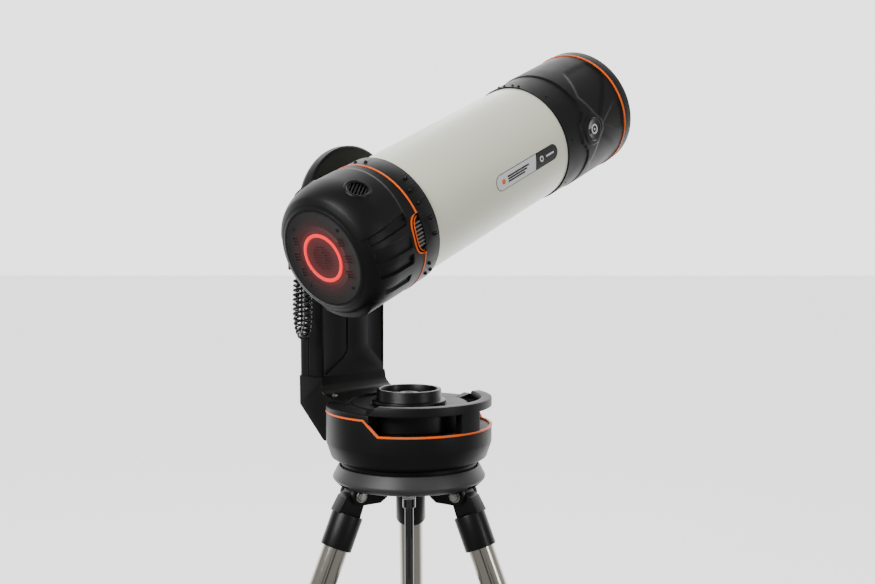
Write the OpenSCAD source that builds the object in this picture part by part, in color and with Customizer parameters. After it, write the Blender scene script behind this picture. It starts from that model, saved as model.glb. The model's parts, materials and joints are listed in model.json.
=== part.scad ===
// Electronic Schmidt astrograph on a single-arm altitude-azimuth mount and a folding tripod.
// The origin is on the floor, below the middle of the bounding box. +Z is up.

/* [Pose] */
// Compass direction in which the tube points, counted from +X
azimuth = 48.4; // [0:0.1:90]
// Height of the tube's axis above the horizon
altitude = 21.2; // [0:0.1:40]

/* [Optical tube] */
// Outer diameter of the main tube
tube_d = 178; // [174:1:180]
// Length from the rear face to the front rim
tube_l = 620; // [600:1:640]
// Distance from the rear face to the altitude axis
axis_s = 178; // [170:1:190]
// Clear diameter of the corrector plate
aperture_d = 152; // [140:1:156]
// Outer diameter of the front hood's rim
hood_d = 188; // [186:1:190]

/* [Mount] */
// Height of the altitude axis above the floor
alt_z = 988; // [985:1:995]
// Outer diameter of the base drum
drum_d = 234; // [230:1:238]
// Distance from the azimuth axis to the arm's inner face
arm_y = 110; // [108:1:114]
// Width of the fork arm's post
post_w = 130; // [126:1:134]

/* [Tripod] */
// Height of the leg hinges above the floor
pivot_z = 593; // [590:1:596]
// Distance from the azimuth axis to each leg hinge
pivot_r = 86; // [84:1:88]
// Angle between a spread leg and the vertical
leg_tilt = 22.5; // [21:0.5:24]
// Outer diameter of the upper leg tubes
leg_d = 36; // [34:0.5:37]

/* [Hidden] */
$fn = 64;
eps = 0.01;
fit = 0.05;   // radial clearance of a shaft in its bearing
gap = 0.4;    // clearance between parts that move past each other
skin = 3;     // wall of the moulded covers

// Place of the azimuth axis in the frame
axis_x = -18;
axis_y = -93.2;

// Optical tube, along its own axis from the rear face
tube_r = tube_d / 2;
cell_r = 93;
face_r = 66;
dome_s = 46;
rear_trim_s = 98.7;
trim_w = 3;
trim_r = 93.8;
cell_end_s = 130.5;
hood_start_s = 446;
front_trim_s = 599.3;
hood_r = hood_d / 2;
band_r = 91.2;
camera_r = 45;
led_r = [29.4, 34.1];
mirror_r = 78;
focal_l = 335;

// Arm and drum heights above the floor
drum_r = drum_d / 2;
shelf_z = 634;
wall_z = [661, 682.7];
line_h = 2.6;         // height of the orange line
high_z = 703.7;       // where the line runs on the arm's side
deck_z = 713;
band_z = [711.5, 724];
band_in_r = 102;
core_r = 84;
knob_z = [714.6, 719.3, 734.6];
knob_r = 45.7;
spigot_r = 22;
wheel_z = [650, 660];
az_wheel_r = 62;
alt_wheel_r = 52;
worm_r = 8;
casting_t = 27;       // depth of the arm's inner casting
cover_t = 20;         // depth of the arm's outer cover
top_r = 90;
seam_r = 83;          // radius of the arm's round top at the seam with its cover
outer_r = 62;         // the same at the cover's outer face
knee_z = 745;
axle_r = 15;

// Tripod heights and lengths
ring_z = 628;
rod_r = 6.25;
rod_end_z = 215;
leg_l = pivot_z / cos(leg_tilt);
clamp_t = 470;        // where the lower clamp starts, along the leg
inner_r = 15.5;
foot_r = 17;
tray_z = 393;
tray_r = 60;
tray_reach = 142.5;
hole_r = 16;

// Route of the curly cord: along the tube, towards the arm, and height
cord_r = 7;
cord_sides = 12;
cord_route = [
    [-101, 100, 938], [-101, 100, 915], [-100, 101, 885], [-99, 102, 860], [-98, 103, 840],
    [-97, 106, 822], [-94, 113, 811], [-91, 120.5, 808], [-88, 128, 811], [-85.5, 135, 820],
    [-84, 139.5, 835], [-83, 141, 855], [-82, 141, 878], [-82, 141, 900]];

leg_azimuths = [90, 210, 330];

// ---------------------------------------------------------------- frames
module stand() { translate([axis_x, axis_y, 0]) children(); }
module head() { stand() rotate([0, 0, azimuth]) children(); }
module optics() {
    head() translate([0, 0, alt_z]) rotate([0, -altitude, 0]) translate([-axis_s, 0, 0]) children();
}
module leg(k) {
    stand() rotate([0, 0, leg_azimuths[k]]) translate([pivot_r, 0, pivot_z])
        rotate([0, -leg_tilt, 0]) children();
}
module along_x() { rotate([90, 0, 90]) children(); }
module along_y() { rotate([-90, 0, 0]) children(); }

// ---------------------------------------------------------------- shapes
module pipe(r_out, r_in, z0, z1) {
    translate([0, 0, z0]) difference() {
        cylinder(r = r_out, h = z1 - z0);
        translate([0, 0, -1]) cylinder(r = r_in, h = z1 - z0 + 2);
    }
}
module rod(r, z0, z1) { translate([0, 0, z0]) cylinder(r = r, h = z1 - z0); }
module block(low, high) { translate(low) cube(high - low); }
module turned(points) { rotate_extrude() polygon(points); }
module around(n, first = 0) { for (i = [0 : n - 1]) rotate([0, 0, first + 360 / n * i]) children(); }
module star_knob(r, h, lobes) {
    difference() {
        cylinder(r = r, h = h);
        around(lobes) translate([r * 1.12, 0, -1]) cylinder(r = r * 0.28, h = h + 2);
    }
}
module hex_head(r, h) { cylinder(r = r, h = h, $fn = 6); }

// ---------------------------------------------------------------- tripod
module tripod_head() {
    color("dimgray") stand() difference() {
        union() {
            turned([[0, 598], [70, 598], [76, 602], [101, 602], [107, 609], [107, 613],
                [99.6, ring_z], [97, ring_z], [97, 620], [0, 620]]);
            around(3, leg_azimuths[0]) for (side = [-1, 1]) along_y_plate(side);
        }
        rod(rod_r + fit, 590, 612);
        around(3, 30) translate([60, 0, 0]) rod(5.6, 590, 630);
        around(3, leg_azimuths[0]) {
            translate([pivot_r, 0, pivot_z]) along_y() rod(4.1, -30, 30);
            block([pivot_r - 14, -13.5, 597], [pivot_r + 15, 13.5, 607]);
        }
    }
}
module along_y_plate(side) {
    translate([0, side * 17, 0]) difference() {
        union() {
            block([44, -3.5, 580], [pivot_r, 3.5, 603]);
            translate([pivot_r, 0, pivot_z]) along_y() rod(13, -3.5, 3.5);
        }
        block([40, -5, 603], [120, 5, 620]);
    }
}
module mount_bolts() {
    color("silver") stand() around(3, 30) translate([60, 0, 0]) {
        rod(5, 598, 628);
        translate([0, 0, 590]) hex_head(9, 8);
    }
}
module centre_rod() {
    color("silver") stand() {
        rod(rod_r, rod_end_z, 610);
        pipe(9.25, rod_r - eps, 564, 579);
    }
}
module leg_pivot_bolts() {
    color("silver") stand() around(3, leg_azimuths[0]) translate([pivot_r, 0, pivot_z]) along_y() {
        rod(4, -21, 21);
        translate([0, 0, 20.5]) hex_head(7, 5);
        translate([0, 0, -26.5]) hex_head(7, 6);
    }
}
module leg_fittings(k) {
    color("#262626") leg(k) {
        difference() {
            union() {
                rod(22, -78, -20);
                translate([0, 0, -30]) along_y_tongue();
            }
            rod(leg_d / 2, -79, -34);
            along_y() rod(4 + fit, -30, 30);
        }
        difference() {
            union() {
                rod(21.5, -clamp_t - 42, -clamp_t + 20);
                block([16, -9, -clamp_t - 32], [30, 9, -clamp_t - 8]);
            }
            rod(leg_d / 2, -clamp_t, -clamp_t + 21);
            rod(inner_r + gap, -clamp_t - 43, -clamp_t + 1);
            translate([0, 0, -clamp_t - 20]) rotate([0, 90, 0]) rod(4 + fit, 10, 40);
        }
    }
}
module along_y_tongue() {
    block([-12, -13.1, 0], [12, 13.1, 30]);
    translate([0, 0, 30]) along_y() rod(12, -13.1, 13.1);
}
module leg_tube(k) {
    color("lightgray") leg(k) pipe(leg_d / 2, leg_d / 2 - 1.6, -clamp_t, -34);
}
module clamp_knob(k) {
    color("#262626") leg(k) translate([0, 0, -clamp_t - 20]) rotate([0, 90, 0]) {
        rod(4, 17, 32);
        translate([0, 0, 31]) star_knob(15, 14, 6);
    }
}
module leg_extension(k) {
    color("lightgray") leg(k) pipe(inner_r, inner_r - 1.5, -leg_l + 30, -160);
}
module foot(k) {
    color("#1c1c1c") intersection() {
        leg(k) difference() {
            translate([0, 0, -leg_l - 15]) cylinder(r1 = foot_r + 5, r2 = foot_r + 1, h = 75);
            rod(inner_r, -leg_l + 30, -leg_l + 90);
        }
        stand() rod(500, 0, 200);
    }
}
module tray_hub() {
    color("silver") stand() {
        pipe(12, rod_r + gap, tray_z - 8, tray_z + 8);
        pipe(19, 11.9, tray_z - 4, tray_z - 0.3);
    }
}
module accessory_tray() {
    arm_r = 6;
    color("#262626") stand() difference() {
        union() {
            rod(tray_r, tray_z, tray_z + 4);
            around(3, leg_azimuths[0]) {
                block([40, -arm_r, tray_z], [tray_reach - arm_r, arm_r, tray_z + 4]);
                translate([tray_reach - arm_r, 0, 0]) rod(arm_r, tray_z, tray_z + 10);
                block([50, -2, tray_z + 3], [tray_reach - arm_r, 2, tray_z + 10]);
            }
        }
        rod(12 + gap, tray_z - 1, tray_z + 5);
        around(3, 30) translate([38, 0, 0]) rod(hole_r, tray_z - 1, tray_z + 5);
    }
}
module tray_knob() {
    color("#262626") stand() translate([0, 0, tray_z - 30]) difference() {
        star_knob(21, 21.5, 6);
        rod(rod_r + gap, -1, 23);
    }
}

// ---------------------------------------------------------------- base
// Everything of the drum that lies under the orange line, raised by the given amount
module under_line(raise) {
    half_low = 108.8;
    half_high = 115;
    cut_top = 760;
    difference() {
        rod(drum_r + 10, 600, high_z + raise);
        translate([0, eps, raise]) rotate([90, 0, 0]) linear_extrude(drum_r + 20)
            polygon([[-half_low, wall_z[1]], [half_low, wall_z[1]], [half_high, high_z],
                [half_high, cut_top], [-half_high, cut_top], [-half_high, high_z]]);
    }
}
module azimuth_base() {
    color("#262626") stand() difference() {
        union() {
            rod(96, 620, 633);
            rod(spigot_r, 632, 700);
        }
        rod(12, 640, 701);
        around(3, 30) translate([60, 0, 0]) rod(5 + fit, 619, 629);
    }
}
module azimuth_worm_wheel() {
    color("goldenrod") stand() pipe(az_wheel_r, spigot_r + fit, wheel_z[0], wheel_z[1]);
}
module az_worm_line() {
    head() translate([0, -az_wheel_r - worm_r - 1, (wheel_z[0] + wheel_z[1]) / 2]) along_x() children();
}
module azimuth_worm() {
    color("silver") az_worm_line() {
        rod(worm_r, -18, 18);
        rod(3, 17, 34);
    }
}
module azimuth_motor() {
    color("#303030") az_worm_line() difference() {
        rod(13, 22, 62);
        rod(3.4, 21, 36);
    }
}
module lower_shell() {
    color("#262626") head() {
        intersection() {
            difference() {
                turned([[spigot_r + fit, shelf_z + 1], [100, shelf_z + 1], [110, 641], [drum_r, wall_z[0]],
                    [drum_r, 710], [drum_r - skin, 710], [drum_r - skin, wall_z[0] + 1],
                    [107, 645], [98, 639], [30, 639], [30, 649], [spigot_r + fit, 649]]);
                rotate([0, 0, 42]) translate([0, 0, 690]) along_x() rod(7 + gap, 90, 130);
            }
            under_line(0);
        }
        deck();
        worm_seat();
    }
}
// Floor of the hand slots, on the side away from the arm
module deck() {
    intersection() {
        rotate([0, 0, 192]) rotate_extrude(angle = 156)
            polygon([[core_r - skin, wall_z[1] - skin], [drum_r - 2, wall_z[1] - skin],
                [drum_r - 2, wall_z[1]], [core_r - skin, wall_z[1]]]);
        under_line(0);
    }
}
module worm_seat() {
    block([26, -76, 638], [58, -66, 642]);
}
module base_trim() {
    color("orangered") head() intersection() {
        pipe(drum_r + 0.7, drum_r - skin, 670, 720);
        difference() {
            under_line(line_h);
            under_line(0);
        }
        rotate([0, 0, 138]) rotate_extrude(angle = 264) square([drum_r + 10, 760]);
    }
}
module upper_shell() {
    color("#262626") head() {
        // central drum with the well for the clutch knob
        turned([[32, deck_z - skin], [core_r - skin, deck_z - skin],
            [core_r - skin, wall_z[1]], [core_r, wall_z[1]],
            [core_r, deck_z + 2], [62, deck_z], [32, deck_z]]);
        // full-width part on the arm's side
        difference() {
            rotate([0, 0, -15]) rotate_extrude(angle = 210)
                polygon([[core_r - 1, deck_z - skin], [drum_r - skin, deck_z - skin],
                    [drum_r - skin, wall_z[1]], [drum_r, wall_z[1]],
                    [drum_r, deck_z - 2], [drum_r - 2, deck_z], [core_r - 1, deck_z]]);
            under_line(line_h);
            block([-70, 60, 690], [70, 130, 720]);
        }
        // handle band, its middle post and the two ends that join it to the drum
        rotate([0, 0, 188]) rotate_extrude(angle = 164)
            polygon([[band_in_r, band_z[0]], [drum_r, band_z[0]], [drum_r, band_z[1] - 2],
                [drum_r - 2, band_z[1]], [band_in_r, band_z[1]]]);
        rotate([0, 0, 260.5]) rotate_extrude(angle = 19)
            polygon([[band_in_r + 0.5, wall_z[1]], [drum_r - skin - 0.1, wall_z[1]],
                [drum_r - skin - 0.1, wall_z[1] + line_h], [drum_r - 0.5, wall_z[1] + line_h],
                [drum_r - 0.5, band_z[0] + 2], [band_in_r + 0.5, band_z[0] + 2]]);
        for (start = [189, 343]) rotate([0, 0, start]) rotate_extrude(angle = 8)
            polygon([[core_r - 2, deck_z - skin + 0.6], [band_in_r + 2, deck_z - skin + 0.6],
                [band_in_r + 2, deck_z + 6], [core_r - 2, deck_z + 1]]);
    }
}
module azimuth_clutch_knob() {
    color("#1c1c1c") stand() {
        turned([[0, knob_z[0]], [52.5, knob_z[0]], [52.5, knob_z[1] - 1.5], [51, knob_z[1]], [knob_r, knob_z[1]],
            [knob_r, knob_z[2] - 1], [knob_r - 1, knob_z[2]], [41, knob_z[2]], [40, knob_z[2] - 1],
            [40, 721], [0, 721]]);
        rod(14, 720, 729);
        around(4, 45) block([12, -2, 720], [41, 2, 727]);
        rod(12 - gap, 680, knob_z[0] + 1);
    }
}
module battery_pack() {
    color("steelblue") head() for (row = [-1 : 1], column = [0, 1])
        translate([-58 + 21 * column, 28 * row, 665]) cylinder(r = 10, h = 44);
}
module control_board() {
    color("darkgreen") head() {
        block([34, -44, 664], [35.6, 44, 708]);
        block([35.6, -20, 672], [44, 20, 690]);
    }
}
module power_button() {
    color("#303030") head() rotate([0, 0, 42]) translate([0, 0, 690]) along_x() {
        rod(7, drum_r - 9, drum_r + 2);
        rod(9, drum_r - 12, drum_r - 8);
    }
}

// ---------------------------------------------------------------- fork arm
module arm_outline(inset, round_r) {
    r = round_r - inset;
    half = post_w / 2 - inset;
    translate([0, alt_z]) circle(r);
    polygon([[-half, knee_z - 40], [half, knee_z - 40], [half, alt_z - 75], [0.8 * r, alt_z],
        [-0.8 * r, alt_z], [-half, alt_z - 75]]);
}
module arm_slab(inset, y0, y1, round_r = top_r) {
    translate([0, y1, 0]) rotate([90, 0, 0]) linear_extrude(y1 - y0) arm_outline(inset, round_r);
}
module axle_line() { translate([0, 0, alt_z]) along_y() children(); }
module fork_arm() {
    color("#262626") head() difference() {
        union() {
            difference() {
                union() {
                    arm_slab(0, arm_y, arm_y + casting_t - 7);
                    arm_slab(0.3, arm_y + 1, arm_y + casting_t, seam_r);
                }
                arm_slab(4, arm_y + 4, arm_y + casting_t + 1, seam_r);
            }
            axle_line() rod(26, arm_y + 1, arm_y + 8);
        }
        axle_line() rod(axle_r + fit, arm_y - 1, arm_y + 12);
        // pockets in the inner face
        block([-62, arm_y - 1, 775], [-12, arm_y + 2, 890]);
        block([30, arm_y - 1, 775], [61, arm_y + 2, 890]);
        block([-70, arm_y - 1, 690], [70, arm_y + casting_t + 1, knee_z]);
    }
}
module arm_cover() {
    outer_y = arm_y + casting_t;
    color("#1c1c1c") head() difference() {
        union() {
            arm_slab(0, outer_y, outer_y + cover_t * 0.35, seam_r - 4);
            arm_slab(0.5, outer_y + 1, outer_y + cover_t * 0.7, seam_r - 12);
            arm_slab(1, outer_y + 1, outer_y + cover_t, outer_r);
        }
        arm_slab(5, outer_y - 1, outer_y + cover_t - skin, outer_r);
        axle_line() rod(axle_r + 2, outer_y, outer_y + cover_t + 1);
        block([-70, outer_y - 1, 690], [70, outer_y + cover_t + 1, knee_z]);
    }
}
module arm_foot() {
    out_y = arm_y + casting_t + cover_t;
    half = post_w / 2 + 1;
    color("#262626") head() difference() {
        translate([-half, 0, 0]) along_x() linear_extrude(2 * half)
            polygon([[58, 690], [58, deck_z + 3], [86, deck_z + 5], [arm_y - 10, deck_z + 9],
                [arm_y - 3, deck_z + 16], [arm_y, knee_z - 5], [arm_y, knee_z], [out_y, knee_z], [out_y, 703],
                [arm_y + 1, 655], [arm_y - 3, 655], [arm_y - 3, 690]]);
        translate([-half + 4, 0, 0]) along_x() linear_extrude(2 * half - 8)
            polygon([[arm_y + 4, knee_z + 1], [out_y - 4, knee_z + 1], [out_y - 4, 705], [arm_y + 4, 662]]);
        rod(core_r + gap, 600, 760);
        difference() {
            rod(drum_r + gap, 600, deck_z);
            block([-50, 50, 706], [50, arm_y, 760]);
        }
    }
}
module alt_worm_line() {
    head() translate([0, arm_y + 15, alt_z - alt_wheel_r - worm_r - 1]) along_x() children();
}
module altitude_worm() {
    color("silver") alt_worm_line() {
        rod(worm_r, -18, 18);
        rod(3, -34, -17);
    }
}
module altitude_motor() {
    color("#303030") alt_worm_line() difference() {
        rod(10, -58, -22);
        rod(3.4, -36, -21);
    }
}
module cable_socket() {
    color("#1c1c1c") head() difference() {
        translate([-92, 131, 900]) cube([92 - post_w / 2, 20, 18]);
        translate([-82, 141, 899]) cylinder(r = 5, h = 6);
    }
}

// ---------------------------------------------------------------- altitude axle
module altitude_shaft() {
    color("silver") head() axle_line() difference() {
        union() {
            rod(40, 104, arm_y - 2);
            rod(axle_r, arm_y - 3, arm_y + casting_t + cover_t - 2);
        }
        rod(8 + gap, arm_y + 20, arm_y + casting_t + cover_t);
    }
}
module altitude_worm_wheel() {
    color("goldenrod") head() axle_line() pipe(alt_wheel_r, axle_r + fit, arm_y + 10, arm_y + 20);
}
module altitude_clutch_knob() {
    knob_y = arm_y + casting_t + cover_t + 1;
    color("#1c1c1c") head() axle_line() {
        rod(8, arm_y + 25, knob_y + 1);
        difference() {
            rod(48, knob_y, knob_y + 10);
            rod(38.5, knob_y + 4, knob_y + 11);
            around(12) translate([51, 0, 0]) rod(6, knob_y + 2, knob_y + 11);
        }
        translate([0, 0, knob_y + 6]) block([-40, -5, -3], [40, 5, 3]);
    }
}
module tube_saddle() {
    color("#303030") optics() difference() {
        union() {
            block([axis_s - 45, 70, -36], [axis_s + 45, 94, 36]);
            translate([axis_s, 0, 0]) along_y() rod(40, 90, 104);
        }
        along_x() rod(tube_r + 0.05, 0, tube_l);
    }
}

// ---------------------------------------------------------------- optical tube
module lathe(points) { along_x() rotate_extrude() polygon([for (p = points) [p[1], p[0]]]); }
module rear_housing() {
    steps = 12;
    inner_r1 = cell_r - skin;
    color("#262626") optics() lathe(concat(
        [[0.5, face_r + 0.1], [0.5, 69]],
        [for (i = [0 : steps]) [2 + dome_s * (1 - cos(90 / steps * i)), 70 + (cell_r - 70) * sin(90 / steps * i)]],
        [[rear_trim_s, cell_r], [rear_trim_s, inner_r1]],
        [for (i = [steps : -1 : 0])
            [5 + dome_s * (1 - cos(90 / steps * i)), 70 + (inner_r1 - 70) * sin(90 / steps * i)]],
        [[5, face_r + 0.1]]));
}
module rear_panel() {
    slot_groups = [-117, -90, -62, 62, 90, 117];
    color("#303030") optics() difference() {
        union() {
            along_x() rod(face_r, 1, 4);
            along_x() rod(2, 3, 22);
        }
        along_x() pipe(led_r[1] + fit, led_r[0] - fit, 0, 2.5);
        for (angle = slot_groups, i = [-1 : 1]) rotate([-angle, 0, 0])
            translate([-1, -4 , 48 + 3.6 * i - 0.9]) cube([8, 8, 1.8]);
    }
}
module led_ring() {
    color("tomato") optics() along_x() pipe(led_r[1], led_r[0], 0.4, 2.5);
}
module cooling_fan() {
    blades = 7;
    color("#303030") optics() along_x() difference() {
        union() {
            rod(13, 8, 22);
            for (i = [0 : blades - 1]) rotate([0, 0, 360 / blades * i]) translate([12, 0, 15])
                rotate([35, 0, 0]) block([0, -7, -1], [24, 7, 1]);
        }
        rod(2 + fit, 7, 23);
    }
}
module trim_rings() {
    color("orangered") optics() along_x() {
        pipe(trim_r, cell_r - skin, rear_trim_s, rear_trim_s + trim_w);
        pipe(hood_r + 0.6, hood_r - 3, front_trim_s, front_trim_s + trim_w);
    }
}
module rear_cell() {
    start = rear_trim_s + trim_w;
    screw_r = 2.4;
    color("#262626") optics() {
        along_x() difference() {
            union() {
                pipe(cell_r, tube_r, start, cell_end_s);
                pipe(tube_r + 1, 22, start, start + 5);
                pipe(22, 17, start, start + 55);
                for (angle = [6, 56, 68, 124, 136, 174]) for (side = [-1, 1])
                    rotate([0, 0, side * angle]) translate([0, cell_r - 1, 112]) rotate([-90, 0, 0]) dome_screw(screw_r);
                for (angle = [45, 84, 98, 135]) for (side = [-1, 1])
                    rotate([0, 0, side * angle]) translate([0, cell_r - 1, 122]) rotate([-90, 0, 0]) dome_screw(screw_r);
            }
            translate([45, 45, 0]) rod(3.2, start - 1, start + 6);
        }
    }
}
module dome_screw(r) { cylinder(r = r, h = 2.6); }
module main_tube() {
    color("#d7dacd") optics() along_x() pipe(tube_r - fit, tube_r - 1.8, rear_trim_s + trim_w + 5, hood_start_s + 8);
}
module mirror_cell() {
    color("dimgray") optics() along_x() {
        pipe(30, 22 + fit, 118, 150);
        difference() {
            pipe(74, 29, 118, 122);
            translate([45, 45, 0]) rod(2.5, 117, 123);
        }
        translate([45, 45, 0]) rod(2.5, 84, 122);
    }
}
module primary_mirror() {
    front_s = 142;
    steps = 8;
    hole = 30 + fit;
    color("lightblue") optics() lathe(concat([[122, hole], [122, mirror_r]],
        [for (i = [steps : -1 : 0]) let (r = hole + (mirror_r - hole) * i / steps)
            [front_s - (mirror_r * mirror_r - r * r) / (4 * focal_l), r]]));
}
module focus_motor() {
    color("#303030") optics() along_x() translate([45, 45, 0]) difference() {
        rod(14, 68, rear_trim_s + trim_w);
        rod(2.9, 78, 110);
    }
}
module corrector_plate() {
    color("lightblue") optics() along_x() pipe(aperture_d / 2 + 4, 30.2, 455, 460);
}
module lens_barrel() {
    color("#303030") optics() along_x() {
        pipe(30, 24, 425, 470);
        pipe(36, 29, 460, 465);
        pipe(28, 24, 470, 482);
        rod(24, 430, 436);
        rod(24, 470, 478);
    }
}
module camera() {
    color("#1c1c1c") optics() difference() {
        union() {
            along_x() rod(camera_r, 482, 560);
            along_x() rod(camera_r - 6, 560, 566);
        }
        block([486, -20, -40], [493, 20, 60]);
        along_x() rod(15, 470, 487);
        along_x() for (i = [0 : 3]) pipe(camera_r + 1, camera_r - 5, 512 + 10 * i, 517 + 10 * i);
    }
}
module filter_drawer() {
    color("#303030") optics() {
        difference() {
            block([486.5, -19.5, -30], [492.5, 19.5, 45]);
            along_x() rod(14, 480, 500);
        }
        block([484.5, -21, 45.5], [494.5, 21, 49]);
        block([486.5, -19.5, 44], [492.5, 19.5, 46]);
    }
}
module hood() {
    color("#262626") optics() {
        difference() {
            lathe([[hood_start_s, tube_r + fit], [hood_start_s, band_r], [488, band_r], [494, hood_r - 1],
                [front_trim_s, hood_r - 1], [front_trim_s, hood_r - 3], [front_trim_s + trim_w, hood_r - 3],
                [front_trim_s + trim_w, hood_r], [tube_l - 2, hood_r], [tube_l, hood_r - 2], [tube_l, hood_r - 5],
                [tube_l - 2, hood_r - 7], [466, hood_r - 7], [466, aperture_d / 2 + 8],
                [460, aperture_d / 2 + 8], [460, aperture_d / 2], [hood_start_s + 8, aperture_d / 2],
                [hood_start_s + 8, tube_r + fit]]);
            along_x() rod(aperture_d / 2 + 4 + fit, 455, 461);
        }
        for (side = [-1, 1]) rotate([side * 91.6, 0, 0]) translate([515, 0, hood_r - 3]) cylinder(r = 21, h = 4.5);
    }
}
module cable_plug() {
    color("#1c1c1c") optics_to_head() difference() {
        block([-110, 84, 938], [-92, 107, 956]);
        optics_bore();
    }
}
module optics_to_head() { head() children(); }
module optics_bore() {
    translate([0, 0, alt_z]) rotate([0, -altitude, 0]) translate([-axis_s, 0, 0]) along_x() rod(cell_r, -10, 120);
}

// ---------------------------------------------------------------- curly cord
function unit(v) = v / norm(v);
function route_dir(i) = unit(cord_route[min(i + 1, len(cord_route) - 1)] - cord_route[max(i - 1, 0)]);
function ring_point(i, j) =
    let (axis = route_dir(i), side = unit(cross(axis, [1, 0.1, 0])), up = cross(side, axis),
         a = 360 / cord_sides * j)
    cord_route[i] + cord_r * (cos(a) * side + sin(a) * up);
module coiled_cable() {
    last = len(cord_route) - 1;
    points = [for (i = [0 : last], j = [0 : cord_sides - 1]) ring_point(i, j)];
    sides = [for (i = [0 : last - 1], j = [0 : cord_sides - 1])
        [i * cord_sides + j, i * cord_sides + (j + 1) % cord_sides,
         (i + 1) * cord_sides + (j + 1) % cord_sides, (i + 1) * cord_sides + j]];
    start = [for (j = [cord_sides - 1 : -1 : 0]) j];
    end = [for (j = [0 : cord_sides - 1]) last * cord_sides + j];
    color("#141414") head() polyhedron(points, concat(sides, [start], [end]));
}

// ---------------------------------------------------------------- assembly
tripod_head();
mount_bolts();
centre_rod();
leg_pivot_bolts();
leg_fittings(0);  // leg_fittings_1
leg_fittings(1);  // leg_fittings_2
leg_fittings(2);  // leg_fittings_3
leg_tube(0);  // leg_tube_1
leg_tube(1);  // leg_tube_2
leg_tube(2);  // leg_tube_3
clamp_knob(0);  // clamp_knob_1
clamp_knob(1);  // clamp_knob_2
clamp_knob(2);  // clamp_knob_3
leg_extension(0);  // leg_extension_1
leg_extension(1);  // leg_extension_2
leg_extension(2);  // leg_extension_3
foot(0);  // foot_1
foot(1);  // foot_2
foot(2);  // foot_3
tray_hub();
accessory_tray();
tray_knob();
azimuth_base();
azimuth_worm_wheel();
azimuth_worm();
azimuth_motor();
lower_shell();
upper_shell();
base_trim();
azimuth_clutch_knob();
battery_pack();
control_board();
power_button();
fork_arm();
arm_cover();
arm_foot();
altitude_motor();
altitude_worm();
cable_socket();
altitude_shaft();
altitude_worm_wheel();
altitude_clutch_knob();
tube_saddle();
rear_housing();
rear_panel();
led_ring();
cooling_fan();
trim_rings();
rear_cell();
main_tube();
mirror_cell();
primary_mirror();
focus_motor();
corrector_plate();
lens_barrel();
camera();
filter_drawer();
hood();
cable_plug();
coiled_cable();
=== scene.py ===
# Looks for an electronic Schmidt astrograph on a single-arm mount and a folding tripod.
# Outlines are written in millimetres in a part's own frame, and meshes are made in metres.
import json
import math
import bmesh
import bpy
from mathutils import Matrix, Vector


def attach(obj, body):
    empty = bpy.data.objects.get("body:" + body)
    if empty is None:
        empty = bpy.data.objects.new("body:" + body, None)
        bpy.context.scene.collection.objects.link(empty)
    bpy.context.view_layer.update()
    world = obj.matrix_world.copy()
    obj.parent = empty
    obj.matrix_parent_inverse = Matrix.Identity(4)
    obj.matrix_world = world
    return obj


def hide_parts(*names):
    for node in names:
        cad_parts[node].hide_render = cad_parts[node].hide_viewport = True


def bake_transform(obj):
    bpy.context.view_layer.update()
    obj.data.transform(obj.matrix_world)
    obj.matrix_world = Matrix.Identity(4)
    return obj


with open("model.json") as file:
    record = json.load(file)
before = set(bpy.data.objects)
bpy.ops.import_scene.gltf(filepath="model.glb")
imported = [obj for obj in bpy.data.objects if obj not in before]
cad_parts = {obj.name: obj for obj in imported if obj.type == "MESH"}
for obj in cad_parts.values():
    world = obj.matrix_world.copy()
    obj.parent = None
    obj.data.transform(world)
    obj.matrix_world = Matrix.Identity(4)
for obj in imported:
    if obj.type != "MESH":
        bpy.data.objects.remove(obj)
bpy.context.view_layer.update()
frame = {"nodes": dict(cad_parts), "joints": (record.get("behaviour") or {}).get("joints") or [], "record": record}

MM = 0.001
UP = Vector((0, 0, 1))
joints = {j["name"]: j for j in frame["joints"]}


# ---------------------------------------------------------------- frames
def axes(origin, x, y, z):
    """A frame from an origin in metres and three directions."""
    m = Matrix.Identity(4)
    for i, v in enumerate((x, y, z)):
        m.col[i][:3] = Vector(v).normalized()
    m.col[3][:3] = origin
    return m


AXLE_Z = joints["altitude_tilt"]["pos_m"][2]
AXLE_S = 178 * MM                       # rear face to altitude axis
stand_origin = Vector((*joints["azimuth_turn"]["pos_m"][:2], 0))
across = -Vector(joints["altitude_tilt"]["axis"])
forward = across.cross(UP)
along = Vector(joints["focus_travel"]["axis"])
STAND = Matrix.Translation(stand_origin)
HEAD = axes(stand_origin, forward, across, UP)
OPTICS = axes(stand_origin + UP * AXLE_Z - along * AXLE_S, along, across, along.cross(across))


def leg_frame(k):
    """-Z runs down leg k, +X points outwards."""
    down = Vector(joints[f"leg_{k}_extend"]["axis"])
    out = Vector(joints[f"leg_{k}_clamp_turn"]["axis"])
    return axes(joints[f"leg_{k}_fold"]["pos_m"], out, (-down).cross(out), -down)


# ---------------------------------------------------------------- camera, light and floor
def make_camera():
    data = bpy.data.cameras.new("camera")
    camera = bpy.data.objects.new("camera", data)
    bpy.context.scene.collection.objects.link(camera)
    camera.location = (0.0223, -1.9511, 1.0040)
    camera.rotation_euler = (math.radians(85.9), 0, 0)
    data.sensor_width = 36
    data.lens = 54.51
    data.clip_start = 0.05
    data.clip_end = 60
    bpy.context.scene.camera = camera


def area_light(name, place, target, size, power):
    data = bpy.data.lights.new(name, "AREA")
    data.shape = "RECTANGLE"
    data.size, data.size_y = size
    data.energy = power
    lamp = bpy.data.objects.new(name, data)
    bpy.context.scene.collection.objects.link(lamp)
    lamp.location = place
    lamp.rotation_euler = (Vector(target) - Vector(place)).to_track_quat("-Z", "Y").to_euler()


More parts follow.
